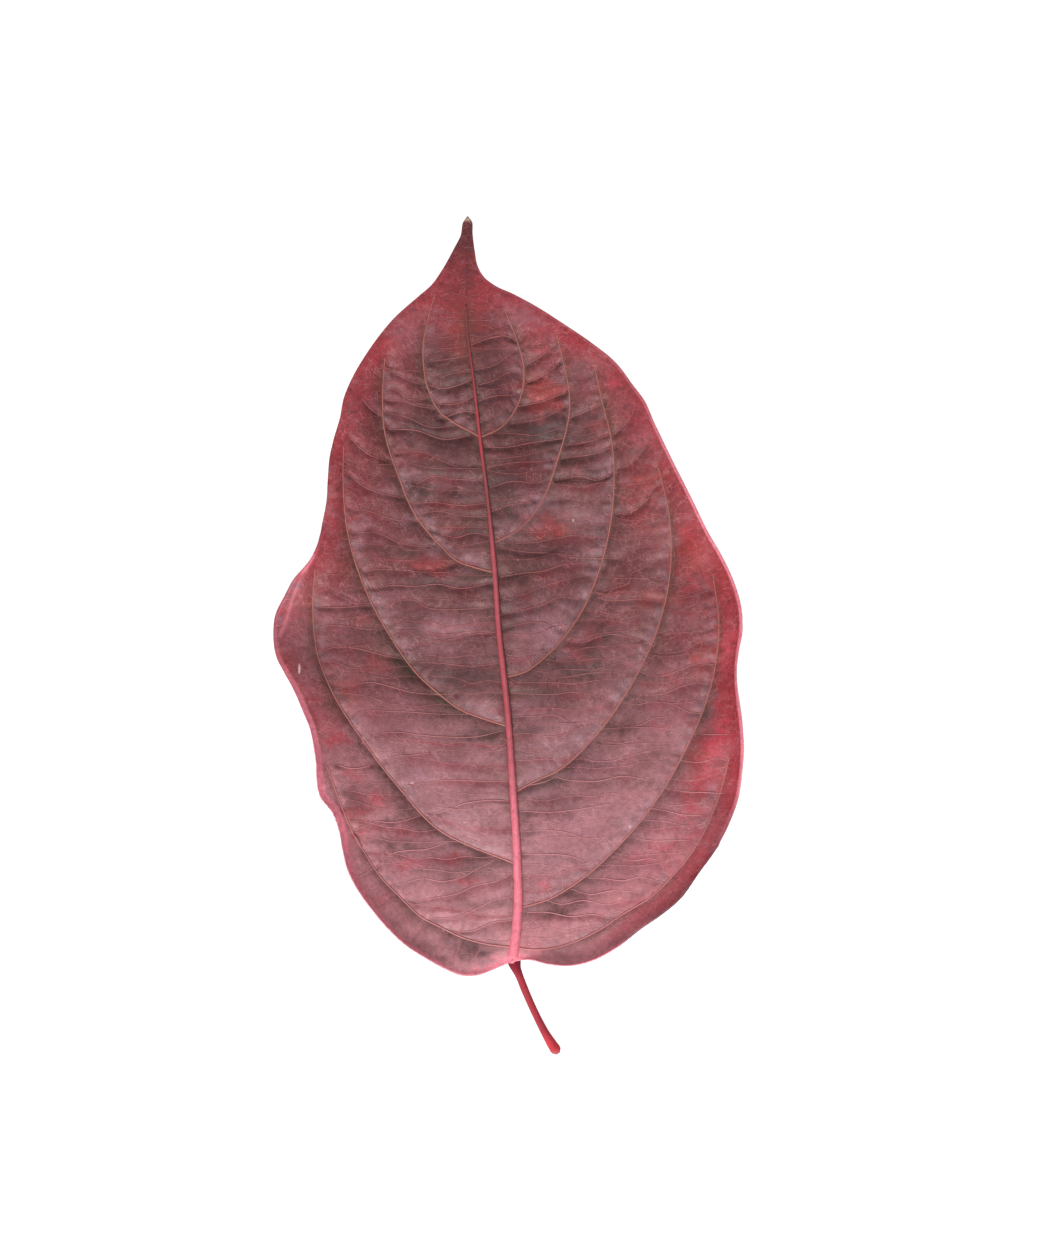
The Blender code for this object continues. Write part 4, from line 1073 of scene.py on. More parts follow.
HOT_SPOTS = [
    (5.3, -33.7, 1.0, 0.8, 1.0), (-23.0, -13.8, 1.7, 1.3, 0.8), (-7.0, -30.2, 2.2, 1.2, 0.6),
    (-5.2, -33.0, 1.6, 1.0, 0.6), (27.2, -15.8, 1.4, 3.0, 0.7), (29.4, -1.6, 0.9, 3.0, 0.6),
    (25.6, -20.6, 1.8, 1.6, 0.5), (17.6, -30.0, 2.4, 1.4, 0.4), (-26.6, -20.2, 0.8, 2.0, 0.5),
    (-22.4, -28.8, 1.0, 2.4, 0.9), (20.6, -12.4, 1.6, 0.8, 0.4), (-2.4, 25.6, 0.8, 2.6, 0.4),
    (21.6, -30.6, 2.2, 1.2, 0.5), (25.0, -26.8, 1.4, 2.4, 0.5), (17.0, -36.0, 2.4, 1.0, 0.4),
    (27.9, -14.4, 1.5, 1.8, 1.0), (26.9, -19.0, 1.5, 1.8, 0.8), (24.6, -23.4, 1.8, 1.8, 0.6),
    (-20.4, -18.8, 1.8, 1.2, 0.55), (-17.8, -22.2, 2.6, 1.6, 0.6), (-19.4, -26.8, 1.4, 1.2, 0.6),
    (-14.2, -26.5, 2.4, 1.0, 0.55), (-13.4, -30.8, 2.6, 1.2, 0.5), (-16.7, -35.2, 1.6, 1.6, 0.45),
    (28.2, -8.7, 1.0, 2.0, 0.6), (20.6, -28.4, 2.2, 1.0, 0.5), (-20.4, -23.6, 1.6, 1.6, 0.5),
    (5.4, 38.0, 1.8, 1.0, 0.4), (13.8, 33.6, 1.6, 1.2, 0.5), (17.9, 26.0, 1.8, 1.6, 0.4),
    (24.3, 14.2, 1.0, 2.4, 0.4), (24.6, 6.4, 1.2, 1.2, 0.4), (28.6, -12.0, 1.4, 3.4, 0.5),
    (27.6, -20.0, 1.2, 3.0, 0.5),
]
# Patches of painted olive shade beside some veins, listed the same way.
OLIVE_SHADE_PATCHES = [
    (-4.8, 7.2, 2.8, 0.7, 0.7), (-3.3, -13.6, 2.6, 0.9, 0.7), (-9.0, -8.6, 2.4, 1.2, 0.7),
    (-13.6, -4.4, 1.6, 1.4, 0.6), (-16.2, -0.4, 1.2, 1.6, 0.5), (2.8, -7.8, 2.0, 0.8, 0.6),
    (-23.2, -9.0, 1.0, 1.6, 0.5), (0.2, 16.4, 1.0, 2.4, 0.6), (5.8, -19.8, 1.8, 0.8, 0.4),
    (-4.2, -31.4, 2.6, 0.8, 0.4), (13.0, -20.0, 2.0, 1.6, 0.3),
]

# Broad dark stretches between the veins, and pale ones, painted sheen where the face catches the light.
DARK_PATCHES = [
    (-1.9, 38.0, 3.0, 6.0, 0.6), (-7.8, 34.7, 2.6, 3.2, 0.8), (-8.1, 25.3, 5.0, 2.2, 0.7),
    (5.6, 26.6, 5.5, 2.6, 1.0), (-0.6, 20.0, 1.6, 3.4, 0.9), (-6.6, 18.7, 3.4, 0.8, 0.8),
    (-11.0, 27.4, 4.2, 2.0, 1.0), (-7.7, 22.2, 4.0, 1.4, 0.8), (-11.7, 19.2, 2.6, 1.4, 1.0),
    (-5.0, 13.8, 1.6, 1.4, 0.8), (6.4, 28.8, 3.0, 1.6, 0.8), (-9.6, 37.0, 2.4, 3.4, 0.7),
    (-2.2, 32.6, 2.6, 1.8, 0.7), (-6.4, 47.4, 2.4, 3.0, 0.4), (11.2, 22.0, 2.6, 1.2, 1.0),
    (9.7, 35.4, 2.0, 1.6, 0.4), (-10.4, 7.3, 3.6, 1.2, 0.8), (3.0, 8.6, 3.4, 1.2, 0.6),
    (11.6, -2.4, 2.2, 1.6, 0.7), (-6.4, -5.8, 5.0, 2.6, 1.0), (8.6, -4.8, 2.8, 1.6, 1.0),
    (3.0, -12.8, 1.2, 1.4, 0.6), (-2.4, -17.5, 0.8, 3.0, 0.4), (-20.6, -22.4, 2.6, 2.6, 0.7),
    (13.7, -0.8, 1.6, 2.0, 0.6), (7.7, -22.9, 3.0, 1.6, 0.5), (-15.1, -28.2, 2.4, 2.0, 0.6),
    (-6.4, -31.8, 4.4, 1.8, 0.5), (8.0, 20.6, 3.0, 0.8, 0.6), (10.8, 24.3, 2.4, 1.0, 0.6),
    (6.1, 10.7, 4.5, 1.0, 0.6), (1.4, 7.4, 2.2, 1.0, 0.6), (0.4, 4.1, 1.5, 1.2, 0.6),
    (-15.6, 11.2, 3.0, 1.0, 0.5), (-13.3, -5.5, 2.2, 2.0, 0.7), (-3.8, -13.2, 2.6, 0.9, 0.6),
    (-23.2, -7.3, 1.2, 2.4, 0.4), (-14.2, -21.5, 2.0, 1.4, 0.4), (-10.9, -25.2, 2.0, 1.2, 0.4),
    (-3.8, -31.3, 3.0, 0.8, 0.5), (-2.4, -36.0, 2.2, 0.8, 0.5), (3.3, -6.9, 2.4, 0.8, 0.6),
    (8.0, -19.1, 3.0, 1.0, 0.5), (2.8, -25.2, 0.9, 4.0, 0.6), (7.4, -37.0, 2.6, 0.9, 0.7),
    (8.9, -35.6, 1.4, 0.8, 0.5), (15.1, -12.5, 2.0, 1.4, 0.5), (10.8, -16.6, 2.4, 1.0, 0.4),
    (26.4, -10.2, 1.2, 2.4, 0.4), (-10.9, -41.7, 3.4, 1.1, 0.5), (-5.4, -42.7, 4.0, 1.6, 0.75),
    (4.4, -7.6, 3.0, 1.4, 0.6), (-17.6, 27.8, 1.6, 3.0, 0.4), (-6.4, -10.0, 3.4, 1.2, 0.5),
    (17.6, 24.6, 2.6, 2.6, 0.4), (-11.8, 0.6, 1.4, 2.2, 0.4), (12.6, 13.6, 2.6, 1.2, 0.4),
    (7.0, 28.4, 3.4, 1.2, 1.0), (3.4, 27.4, 2.8, 1.2, 1.0), (10.6, 27.8, 1.6, 1.8, 0.7),
    (9.4, 22.8, 2.0, 1.2, 0.7), (-1.6, 20.2, 1.2, 1.2, 0.9), (11.0, -4.8, 1.8, 1.4, 1.0),
    (7.4, -3.8, 1.4, 1.0, 0.7), (-13.6, -23.4, 1.6, 1.0, 0.6), (-20.0, -22.4, 1.6, 1.2, 0.7),
    (-12.8, -28.6, 1.4, 0.9, 0.8), (-15.4, -24.8, 1.4, 0.9, 0.6), (-20.6, -24.6, 1.4, 1.2, 0.6),
    (-7.6, -5.0, 2.4, 0.9, 0.7), (-4.6, -18.2, 2.0, 0.7, 0.4), (-8.4, 29.6, 2.2, 1.0, 0.7),
    (-11.6, 22.0, 1.2, 1.0, 0.7), (-6.6, 21.4, 1.6, 0.8, 0.6), (8.4, 16.2, 1.0, 1.2, 0.5),
    (11.6, 1.4, 1.4, 0.8, 0.6), (7.0, -20.8, 1.4, 1.4, 0.4), (-5.0, 48.6, 2.2, 1.2, 0.5),
    (-29.0, 6.0, 1.0, 1.2, 0.6), (-2.4, 19.4, 1.4, 1.4, 0.8), (0.3, 1.9, 0.9, 2.4, 0.5),
    (-23.4, -16.8, 2.4, 3.0, 0.4), (10.4, -18.0, 3.0, 1.0, 0.4), (10.4, 30.0, 1.6, 1.4, 0.5),
    (18.0, -9.8, 1.0, 1.6, 0.3),
]
LILAC_SHEEN_PATCHES = [
    (-13.2, 21.9, 1.2, 0.9, 0.7), (-4.6, 19.9, 1.8, 0.8, 0.5), (-10.2, 11.4, 1.4, 1.4, 0.8),
    (-4.3, 10.2, 1.8, 0.8, 0.6), (4.0, 17.6, 3.2, 1.8, 1.0), (1.6, 14.3, 2.0, 1.2, 0.9),
    (8.9, 16.3, 3.4, 1.4, 0.5), (12.0, 8.3, 1.2, 2.0, 0.6), (9.4, 4.1, 2.2, 1.4, 0.6),
    (-13.0, 15.3, 1.8, 1.4, 0.6), (-8.1, 0.8, 4.4, 1.6, 0.6), (-13.7, -2.0, 1.6, 1.2, 0.6),
    (-16.3, 2.2, 1.0, 1.6, 0.6), (-20.3, 12.3, 1.0, 1.4, 0.6), (5.0, 0.4, 3.6, 3.0, 1.0),
    (21.7, 13.0, 0.8, 2.4, 0.5), (13.0, 23.4, 0.9, 2.0, 0.5), (-8.8, 30.5, 1.0, 1.4, 0.5),
    (-6.6, 28.6, 1.6, 0.7, 0.6), (-1.0, 29.0, 1.6, 1.0, 0.5), (-8.8, -1.6, 2.6, 1.2, 0.5),
    (-3.0, -9.9, 1.8, 0.9, 0.5), (-19.9, -12.5, 1.4, 1.6, 0.4), (-16.1, -16.3, 1.6, 1.6, 0.4),
    (-11.8, -19.6, 2.4, 1.8, 0.6), (-6.2, -24.3, 3.6, 2.2, 0.5), (-2.4, -27.6, 2.4, 1.2, 0.5),
    (-4.8, -14.4, 0.9, 0.6, 0.6), (4.2, -18.9, 2.4, 1.5, 1.0), (8.6, -14.2, 2.6, 1.6, 1.0),
    (15.6, -9.2, 1.6, 1.8, 0.5), (17.9, -5.5, 1.2, 2.0, 0.5), (24.1, -13.0, 1.6, 1.8, 0.5),
    (17.4, -24.3, 1.6, 1.2, 0.6), (13.7, -28.5, 2.0, 1.2, 0.4), (5.6, -30.4, 2.2, 1.8, 0.5),
    (-3.3, -44.0, 1.6, 0.6, 0.5), (1.8, 42.6, 2.6, 1.8, 0.7), (-13.7, 40.8, 2.4, 3.0, 0.5),
    (-24.5, 19.3, 1.0, 6.0, 0.5), (-26.8, -4.0, 1.6, 6.0, 0.5), (-29.2, -0.8, 1.4, 3.0, 0.5),
    (-15.8, 19.3, 1.2, 1.4, 0.6), (7.6, 3.4, 2.4, 1.2, 0.6), (3.0, -36.6, 1.2, 1.2, 0.7),
    (27.0, -25.0, 1.8, 4.0, 0.6), (8.6, 27.6, 0.8, 1.6, 0.3), (16.4, -26.2, 1.6, 1.4, 0.6),
    (6.4, -33.6, 2.0, 1.0, 0.6), (-2.4, -39.6, 1.6, 1.2, 0.6), (21.1, 3.3, 2.0, 1.4, 0.4),
    (-24.2, -23.6, 1.0, 3.0, 0.7), (-0.2, 14.0, 1.2, 1.6, 0.9), (3.4, 15.4, 2.4, 1.2, 0.8),
    (16.4, -25.4, 1.8, 1.4, 0.9), (3.6, -18.4, 1.6, 1.6, 0.9), (5.4, -15.0, 1.8, 1.2, 0.8),
    (8.2, -12.6, 1.6, 1.2, 0.8), (10.4, -33.0, 2.4, 1.4, 0.5), (-22.2, -28.0, 0.9, 1.6, 0.7),
    (2.8, -36.6, 1.4, 1.4, 1.0), (3.4, -20.8, 1.4, 1.4, 0.9), (-6.2, -41.4, 1.8, 0.7, 0.7),
    (-16.6, -38.2, 1.6, 0.8, 0.7), (26.8, -9.0, 1.4, 2.0, 0.5), (27.0, -25.6, 1.4, 1.6, 0.5),
    (11.6, -30.0, 2.0, 1.4, 0.4), (13.0, 11.6, 1.6, 1.6, 0.4), (-19.6, 14.8, 1.2, 1.6, 0.6),
]

# Where the pink rim flares at the notch, and dull stretches along the margin, listed the same way.
FLARES = [(-0.9, -44.0, 1.6, 0.6, 0.9), (2.6, -43.2, 1.8, 0.4, 0.8), (-3.4, -45.2, 2.0, 0.4, 0.7)]
DULL_PATCHES = [
    (-29.6, 6.4, 1.4, 1.6, 0.5), (-31.2, 3.2, 0.9, 2.4, 0.8), (-31.4, 0.0, 0.6, 2.2, 0.7),
    (24.4, -34.0, 1.6, 1.0, 0.6), (27.6, -29.2, 1.0, 1.4, 0.6), (20.0, -37.8, 2.0, 0.8, 0.6),
    (15.4, -41.0, 2.4, 0.8, 0.5),
]

# Dark hollows under the feet of some veins and beside the midrib, listed the same way.
HOLLOWS = [
    (8.0, -34.7, 2.0, 0.5, 0.8), (5.9, -37.5, 2.4, 0.6, 0.9), (-3.4, -42.4, 1.6, 0.5, 0.9),
    (-4.5, -30.0, 2.2, 0.6, 0.8), (-0.3, 16.6, 0.9, 2.6, 0.7), (-5.0, 16.0, 2.0, 0.7, 0.5),
    (-6.0, 3.6, 2.6, 0.5, 0.7), (4.2, 27.6, 2.2, 0.6, 0.5), (-2.4, -32.4, 1.4, 0.5, 0.6),
    (4.0, -9.6, 2.4, 0.5, 0.5), (3.4, 5.4, 2.6, 0.5, 0.5), (0.9, 19.4, 0.9, 1.6, 0.8),
]

# How pink the margin's rim is, and how far in it reaches, at a few heights of the right and left margin.
RIM_PINKS = {
    1: ((-44.5, 1.0), (-42.6, 1.0), (-41.0, 0.25), (-27.0, 0.2), (-21.0, 0.8), (-5.0, 0.75), (8.0, 0.75),
        (16.0, 0.7), (30.0, 0.4), (44.0, 0.1)),
    -1: ((-46.0, 0.7), (-40.0, 0.8), (-30.0, 1.0), (-12.0, 1.0), (-6.0, 0.5), (0.0, 0.2), (8.0, 0.3),
         (14.0, 0.0)),
}
RIM_WIDTHS = {
    1: ((-46, 0.45), (-38, 0.5), (-28, 0.6), (-10, 0.56), (0, 0.52), (16, 0.44), (57, 0.28)),
    -1: ((-46, 0.6), (-38, 1.0), (-31, 1.2), (-27, 1.2), (-21, 1.15), (-12, 1.0), (-4, 0.7), (16, 0.4),
         (57, 0.3)),
}

# How crisp the rim's inner edge is, and how many of its widths in it ends.
RIM_CRISPNESS = 2.6
RIM_END = 1.15

# The ridge of the left lobe, in the photo's pixels, how wide its painted highlight shows and how pink.
LOBE_RIDGE = [(314, 556), (301, 579), (293, 598), (287, 618), (280, 636)]
RIDGE_WIDTH = 0.22
RIDGE_HIGHLIGHT = 0.4

# How the patches' edges waver across and up, listed as the swells of the relief are.
WAVER_ACROSS = ((0.7, 0.6, 2.3, 0.0), (0.4, -1.0, 5.1, 0.0))
WAVER_UP = ((0.25, 2.1, 0.4, 0.0), (0.15, 4.7, 0.0, 0.0))

# The shade south of a small vein: how far from the vein it lies, how wide it is, the least share of it,
# and how near a rib it is full. SCRAMBLE makes of each vein's strength a value of its own.
SHADE_PLACE = 0.3
SHADE_WIDTH = 0.42
SHADE_LEAST = 0.15
SHADE_REACH = 2.2
SCRAMBLE = 558.6

# How far in the painted light of the lower margins and the red margin reach, how far from a vein its
# painted sheen, its painted olive shade and its band of colour do, and how far from the midrib the shade
# on its right, with that shade's strength.
LIT_MARGIN_REACH = 3.6
RED_REACH = 4.5
SHEEN_REACH = 1.6
OLIVE_SHADE_REACH = 0.8
BAND_REACH = 1.2
MIDRIB_SHADE_REACH = 0.6
MIDRIB_SHADE = 0.5


def patches(points, listed):
    """How strongly each plan point is covered by the listed soft patches, with their edges wavering."""
    cover = np.zeros(len(points))
    across = points[:, 0] + waves(points, WAVER_ACROSS)
    up = points[:, 1] + waves(points, WAVER_UP)
    for x, y, wide, high, strength in listed:
        square = ((across - x) / wide) ** 2 + ((up - y) / high) ** 2
        cover = np.maximum(cover, strength * np.exp(-square))
    return cover


def rim_mark(plan, to_edge, right):
    """How much of the rim's pink each plan point has, with a painted highlight on the left lobe's ridge and
    the notch's flares.
    """
    y = plan[:, 1]
    pink = np.where(right, along(RIM_PINKS[1], y), along(RIM_PINKS[-1], y))
    width = np.where(right, along(RIM_WIDTHS[1], y), along(RIM_WIDTHS[-1], y))
    to_ridge, _ = Curves([photo_curve(LOBE_RIDGE)]).nearest(plan)
    rim = pink * eased(RIM_CRISPNESS * (RIM_END - to_edge / width))
    return rim + RIDGE_HIGHLIGHT * bell(to_ridge, RIDGE_WIDTH) + patches(plan, FLARES)


def small_vein_marks(leaf, plan, to_rib):
    """The shade just south of each small vein, and a band of colour beside about half of them."""
    to_small, small = leaf.near_small.nearest(plan)
    south = plan[:, 1] < leaf.near_small.points[small][:, 1]
    strength = leaf.small_strengths[small]
    near_rib = SHADE_LEAST + (1 - SHADE_LEAST) * np.exp(-to_rib / SHADE_REACH)
    shade = bell(to_small - SHADE_PLACE, SHADE_WIDTH) * strength * near_rib
    own = np.sin(SCRAMBLE * strength)
    band = np.maximum(0.0, own) * np.exp(-to_small / BAND_REACH)
    return np.where(south, shade, 0.0), np.where(south, band, 0.0)


def blade_marks(leaf, plan):
    """What the blade's finish needs to know at each plan point, as named values of about 0 to 1."""
    y = plan[:, 1]
    right = plan[:, 0] > leaf.midrib_x(y)
    to_edge, _ = leaf.near_edge.nearest(plan)
    to_midrib, _ = leaf.near_midrib.nearest(plan)
    to_rib, rib = leaf.near_ribs.nearest(plan)
    above = leaf.apical(plan, rib)
    inner = ramp(to_edge, 1.0, 4.0)
    lit_margin = np.exp(-to_edge / LIT_MARGIN_REACH)
    shade, band = small_vein_marks(leaf, plan, to_rib)
    by_midrib = MIDRIB_SHADE * np.exp(-to_midrib / MIDRIB_SHADE_REACH) * ramp(y, -34.0, -18.0)
    deep = patches(plan, DARK_PATCHES)
    red_band = np.where(right, ramp(to_edge, 6.5, 2.0) * ramp(y, 22.0, 12.0), 0.0)
    red_band *= 1 - 0.5 * ramp(y, -20.0, -34.0)
    red = np.maximum(np.exp(-to_edge / RED_REACH), red_band) * ramp(y, -46.0, -32.0)
    red *= np.where(right, 1.0, 1 - 0.7 * ramp(y, -8.0, -20.0))
    strip = ramp(to_edge, 0.4, 1.0) * ramp(to_edge, 2.9, 2.1) * ramp(y, -17.0, -21.0) * ramp(y, -44.0, -39.0)
    # Painted olive shade, mostly on the side of each side vein that faces the base.
    olive_shade = np.where(above, 0.25, 1.0) * np.exp(-to_rib / OLIVE_SHADE_REACH) * inner * ramp(y, 46.0, 41.0)
    return {
        "lower": ramp(y, 10.0, -36.0),
        # Painted light on the lower margins, whose curl turns them away from the key light.
        "pale": np.where(right, 0.9 * ramp(y, -12.0, -26.0), ramp(y, -4.0, -18.0)) * lit_margin,
        "deep": deep,
        "lilac_sheen": patches(plan, LILAC_SHEEN_PATCHES),
        "dull": patches(plan, DULL_PATCHES) * ramp(to_edge, 3.0, 1.5),
        "red": red + 0.4 * ramp(y, 34.0, 44.0),
        "strip": np.where(right, 0.6 * strip, 0.0),
        "warm": patches(plan, WARM_PATCHES),
        "hot": patches(plan, HOT_SPOTS),
        "tip": ramp(y, 48.0, 53.0),
        "sheen": np.where(above, bell(to_rib, SHEEN_REACH), 0.0) * inner * (1 - deep),
        "olive_shade": olive_shade + patches(plan, OLIVE_SHADE_PATCHES),
        "shade": np.maximum(shade * inner + np.where(right, by_midrib, 0.0), patches(plan, HOLLOWS)),
        "band": band * inner,
        "rim": rim_mark(plan, to_edge, right),
    }


def even_out(grid, corner):
    """Spreads the grid's points evenly near a corner of the margin, so that none lies past another."""
    inner = grid[1:-1, 1:-1]
    away = np.linalg.norm(inner - corner, axis=2)
    share = bell(away, CORNER_REACH)[:, :, None]
    for _ in range(CORNER_ROUNDS):
        middle = (grid[:-2, 1:-1] + grid[2:, 1:-1] + grid[1:-1, :-2] + grid[1:-1, 2:]) / 4
        inner += share * (middle - inner)


def thin_out(leaf, blade, plan, order):
    """Gives the blade its thickness, less at the margin, with the underside and the rim as finishes."""
    group = blade.vertex_groups.new(name="thickness")
    to_edge, _ = leaf.near_edge.nearest(plan)
    for index, share in zip(order, 1 - MARGIN_THINNING * np.exp(-to_edge / THINNING_REACH)):
        group.add([int(index)], float(share), "REPLACE")
    thin = blade.modifiers.new("thickness", "SOLIDIFY")
    thin.vertex_group = group.name
    thin.thickness = BLADE_THICKNESS * MM
    thin.offset = -1.0
    thin.use_quality_normals = True
    thin.material_offset = 1
    thin.material_offset_rim = 2
    select_only(blade)
    bpy.ops.object.modifier_apply(modifier=thin.name)
    blade.vertex_groups.clear()


def make_half_blade(leaf, side, name, finishes):
    """Half of the blade: a fine grid whose rows follow the side veins, raised to form and made thin."""
    heights = row_heights()
    columns = 1 - (1 - np.linspace(0, 1, HALF_COLUMNS + 1)) ** MARGIN_CROWDING
    lines = leaf.rows_of(side)
    rows = np.array([leaf.row(side, height, columns, lines)[::side] for height in heights])
    if side == 1:
        even_out(rows, np.array(leaf.corners[side][0]))
    plan = rows.reshape(-1, 2)
    deselect_all()
    bpy.ops.mesh.primitive_grid_add(x_subdivisions=HALF_COLUMNS, y_subdivisions=len(heights) - 1, size=2.0)
    blade = bpy.context.object
    blade.name = name
    mesh = blade.data
    places = np.empty(len(mesh.vertices) * 3)
    mesh.vertices.foreach_get("co", places)
    places = places.reshape(-1, 3).round(6)
    order = np.lexsort((places[:, 0], places[:, 1]))
    places[order] = leaf.lift(plan) * MM
    mesh.vertices.foreach_set("co", places.ravel())
    for mark_name, values in blade_marks(leaf, plan).items():
        mark = mesh.attributes.new(mark_name, "FLOAT", "POINT")
        placed = np.empty(len(values))
        placed[order] = values
        mark.data.foreach_set("value", placed.astype(np.float32))
    for finish in finishes:
        mesh.materials.append(finish)
    mesh.shade_smooth()
    thin_out(leaf, blade, plan, order)
    dress(blade, replaces=True)
    return blade


def make_tubes(name, paths, material, roundness):
    """Tapering tubes along paths of x, y, z and radius, closed at both ends, as one piece."""
    curve = bpy.data.curves.new(name, "CURVE")
    curve.dimensions = "3D"
    curve.bevel_depth = MM
    curve.bevel_resolution = roundness
    curve.use_fill_caps = True
    for path in paths:
        spline = curve.splines.new("POLY")
        spline.points.add(len(path) - 1)
        for point, (x, y, z, radius) in zip(spline.points, path):
            point.co = (x * MM, y * MM, z * MM, 1.0)
            point.radius = radius
        spline.use_smooth = True
    piece = bpy.data.objects.new(name, curve)
    bpy.context.scene.collection.objects.link(piece)
    select_only(piece)
    bpy.ops.object.convert(target="MESH")
    bpy.ops.object.mode_set(mode="EDIT")
    bpy.ops.mesh.select_all(action="SELECT")
    bpy.ops.mesh.remove_doubles(threshold=MERGE_DISTANCE * MM)
    bpy.ops.mesh.normals_make_consistent(inside=False)
    bpy.ops.object.mode_set(mode="OBJECT")
    bpy.ops.object.shade_smooth()
    piece = bpy.context.object
    piece.data.materials.clear()
    piece.data.materials.append(material)
    dress(piece)


def vein_path(leaf, curve, radii, proud):
    """A vein's path on the upper face, or under the blade if proud is below zero."""
    there, normal = leaf.surface_frame(curve)
    radii = np.asarray(radii)
    if np.min(proud) >= 0:
        middle = there + normal * (radii * (proud - 1))[:, None]
    else:
        middle = there - normal * (BLADE_THICKNESS + radii * (-proud - 1))[:, None]
    return np.column_stack([middle, radii])


def tapering(leaf, curve, radii, proud):
    """A vein's path that gets thinner towards its end, from a radius at the foot and what it loses."""
    foot, loss = radii
    return vein_path(leaf, curve, foot - loss * np.linspace(0.0, 1.0, len(curve)), proud)


def make_midrib(leaf):
    """The midrib on the upper face, from the notch to where it fades out below the tip."""
    base = MIDRIB[0][1]
    steps = np.arange(base + FIRST_STEP, MIDRIB_END, MIDRIB_STEP)
    heights = np.concatenate([base + np.array(BASE_STEPS), steps])
    draw = random.Random(SMALL_SEED)
    radii = along(MIDRIB_RADII, heights) * [draw.uniform(*MIDRIB_UNEVEN) for _ in heights]
    radii *= np.sqrt(1 - (1 - np.minimum(1.0, (heights - base) / BASE_ROUNDING)) ** 2)
    path = vein_path(leaf, leaf.midrib_point(heights), radii, along(MIDRIB_PROUD, heights))
    make_tubes("midrib", [path], midrib_finish(), THICK_ROUNDNESS)


def make_stalk():
    """The stalk, from its blunt cut end to where it passes under the blade and becomes the midrib."""
    make_tubes("stalk", [smooth_curve(STALK, STALK_SPACING)], stalk_finish(), THICK_ROUNDNESS)


def raised(path, blades):
    """The path, lifted wherever it would run under the blades' upper face."""
    for point in path:
        above = Vector((point[0], point[1], WELL_ABOVE)) * MM
        for blade in blades:
            found, place, _, _ = blade.ray_cast(above, Vector((0.0, 0.0, -1.0)))
            if found:
                point[2] = max(point[2], place.z / MM - VEIN_SUNK)
    return path


def make_side_veins(leaf, blades):
    """The side veins as fine cords in the blade's grooves, each thinner towards the margin."""
    bpy.context.view_layer.update()
    curves = [vein[2:-2:SIDE_STRIDE] for vein in leaf.veins[-1] + leaf.veins[1]]
    paths = [raised(tapering(leaf, curve, SIDE_RADII, SIDE_PROUD), blades) for curve in curves]
    make_tubes("side_veins", paths, vein_finish("side veins", *SIDE_COLOURS), FINE_ROUNDNESS)


def make_small_veins(leaf):
    """The small veins as hair-fine cords in the puckers' valleys, each thinner towards both ends."""
    paths = []
    middle, loss = SMALL_RADII
    for vein, strength in leaf.small_veins:
        share = np.abs(np.linspace(-1.0, 1.0, len(vein)))
        radii = (FAINTEST + (1 - FAINTEST) * strength) * (middle - loss * share)
        paths.append(vein_path(leaf, vein[::SMALL_STRIDE], radii[::SMALL_STRIDE], SMALL_PROUD))
    finish = vein_finish("small veins", *SMALL_COLOURS)
    make_tubes("small_veins", paths, finish, HAIR_ROUNDNESS)


def make_under_ribs(leaf):
    """The ridges that the midrib and side veins make under the blade."""
    start, end = SPINE_ENDS
    heights = np.arange(MIDRIB[0][1] + start, end, SPINE_STEP)
    radii = along(MIDRIB_RADII, heights) * SPINE_SHARE
    paths = [vein_path(leaf, leaf.midrib_point(heights), radii, SPINE_PROUD)]
    for vein in leaf.veins[-1] + leaf.veins[1]:
        paths.append(tapering(leaf, vein[::RIB_STRIDE], RIB_RADII, RIB_PROUD))
    finish = vein_finish("ribs under the leaf", *RIB_COLOURS)
    make_tubes("under_ribs", paths, finish, FINE_ROUNDNESS)


# The floor, and the lights round the leaf: where each stands, its width, power and colour.
FLOOR_SIZE = 3.0
FLOOR_GREY = (0.25, 0.25, 0.25, 1.0)
WHITE = (1.0, 1.0, 1.0, 1.0)
LIGHTS = [
    ("key light", (-0.18, -0.66, 0.52), 0.4, 8.0, (1.0, 0.99, 0.98)),
    ("overhead light", (0.1, 0.1, 1.0), 0.8, 1.8, (0.97, 0.985, 1.0)),
]
WORLD_STRENGTH = 0.36
FLOOR_GLOW = 0.95

# The camera looks straight down on the middle of the photo, which is this far to the right of the
# leaf's own middle and beyond it. The photo's height spans this much of the floor.
CAMERA_CENTRE = (2.73, 0.59)
CAMERA_HEIGHT = 800.0
LEAF_LEVEL = 3.0
FRAME_HEIGHT = 168.84
SENSOR = 24.0


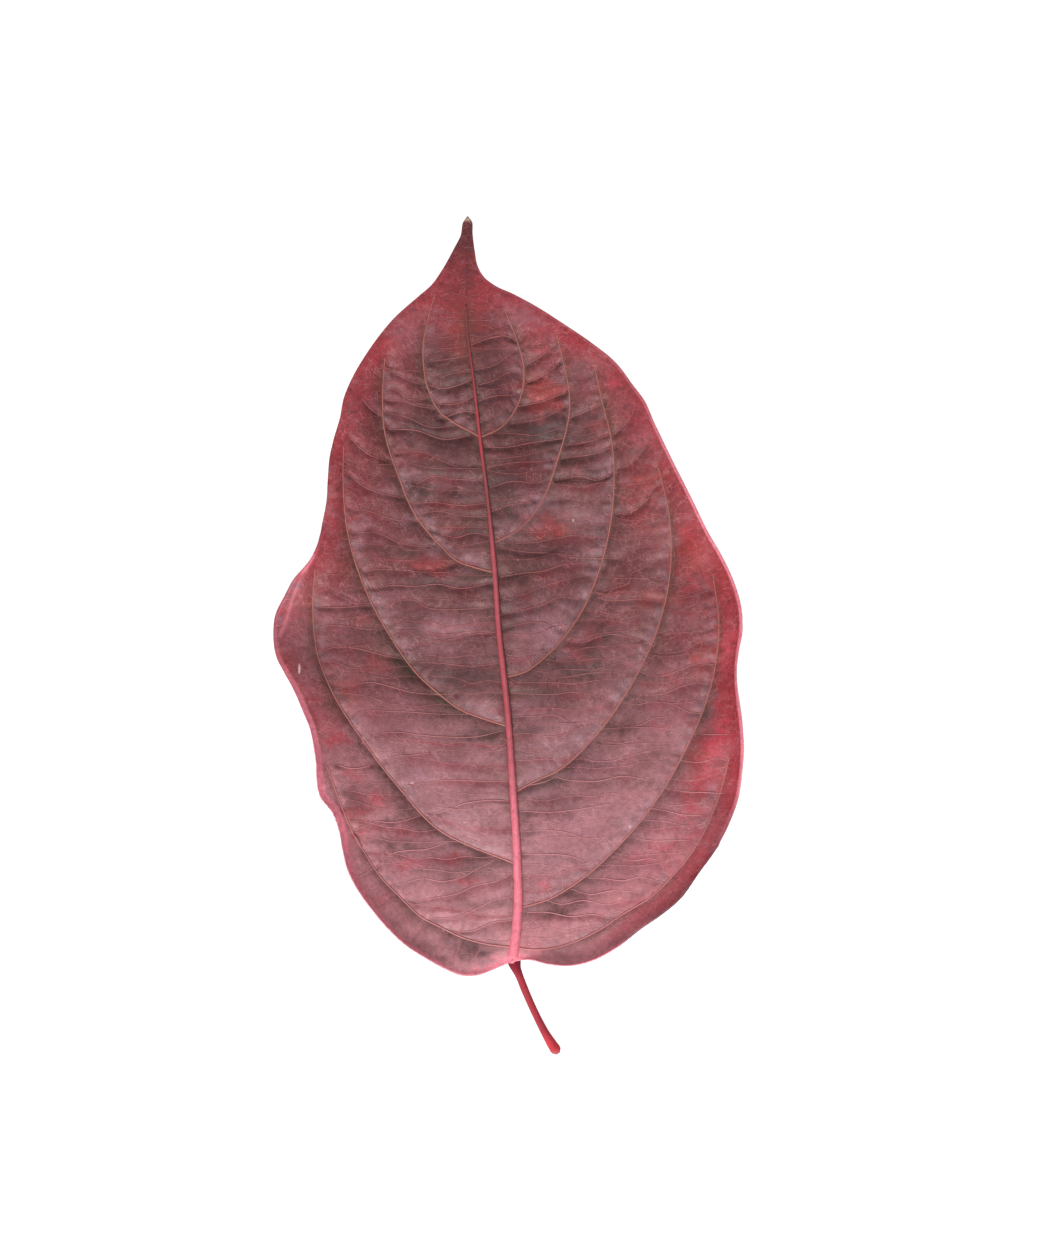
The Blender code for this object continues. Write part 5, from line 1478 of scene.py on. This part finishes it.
def make_floor():
    """A plain pale floor, a hair below the leaf."""
    deselect_all()
    bpy.ops.mesh.primitive_plane_add(size=FLOOR_SIZE, location=(0.0, 0.0, 0.0))
    floor = bpy.context.object
    floor.name = "floor"
    finish = Finish("plain floor", 0.9, 0.1)
    finish.set("Base Color", FLOOR_GREY)
    finish.set("Emission Color", WHITE)
    finish.set("Emission Strength", FLOOR_GLOW)
    floor.data.materials.append(finish.material)


def make_lights():
    """Soft studio light: a key light low from the stalk's side, a wide one overhead, and a pale world."""
    for name, place, width, power, tint in LIGHTS:
        light = bpy.data.lights.new(name, "AREA")
        light.shape = "DISK"
        light.size = width
        light.energy = power
        light.color = tint
        lamp = bpy.data.objects.new(name, light)
        lamp.location = place
        lamp.rotation_euler = (-Vector(place)).to_track_quat("-Z", "Y").to_euler()
        bpy.context.scene.collection.objects.link(lamp)
    world = bpy.data.worlds.new("studio")
    world.use_nodes = True
    back = world.node_tree.nodes["Background"]
    back.inputs["Color"].default_value = WHITE
    back.inputs["Strength"].default_value = WORLD_STRENGTH
    bpy.context.scene.world = world
    bpy.context.scene.view_settings.view_transform = "Standard"


def make_camera():
    """The camera, straight above the leaf with the tip up, as the photo was taken."""
    lens = bpy.data.cameras.new("camera")
    lens.sensor_fit = "VERTICAL"
    lens.sensor_height = SENSOR
    lens.lens = SENSOR * CAMERA_HEIGHT / FRAME_HEIGHT
    camera = bpy.data.objects.new("camera", lens)
    x, y = CAMERA_CENTRE
    camera.location = (x * MM, y * MM, (CAMERA_HEIGHT + LEAF_LEVEL) * MM)
    bpy.context.scene.collection.objects.link(camera)
    bpy.context.scene.camera = camera


def main():
    """The whole scene."""
    make_camera()
    leaf = Leaf()
    finishes = [blade_finish(), under_finish(), rim_finish()]
    names = {-1: "left_half", 1: "right_half"}
    halves = [make_half_blade(leaf, side, name, finishes) for side, name in names.items()]
    make_midrib(leaf)
    make_stalk()
    make_side_veins(leaf, halves)
    make_small_veins(leaf)
    make_under_ribs(leaf)
    make_floor()
    make_lights()


main()
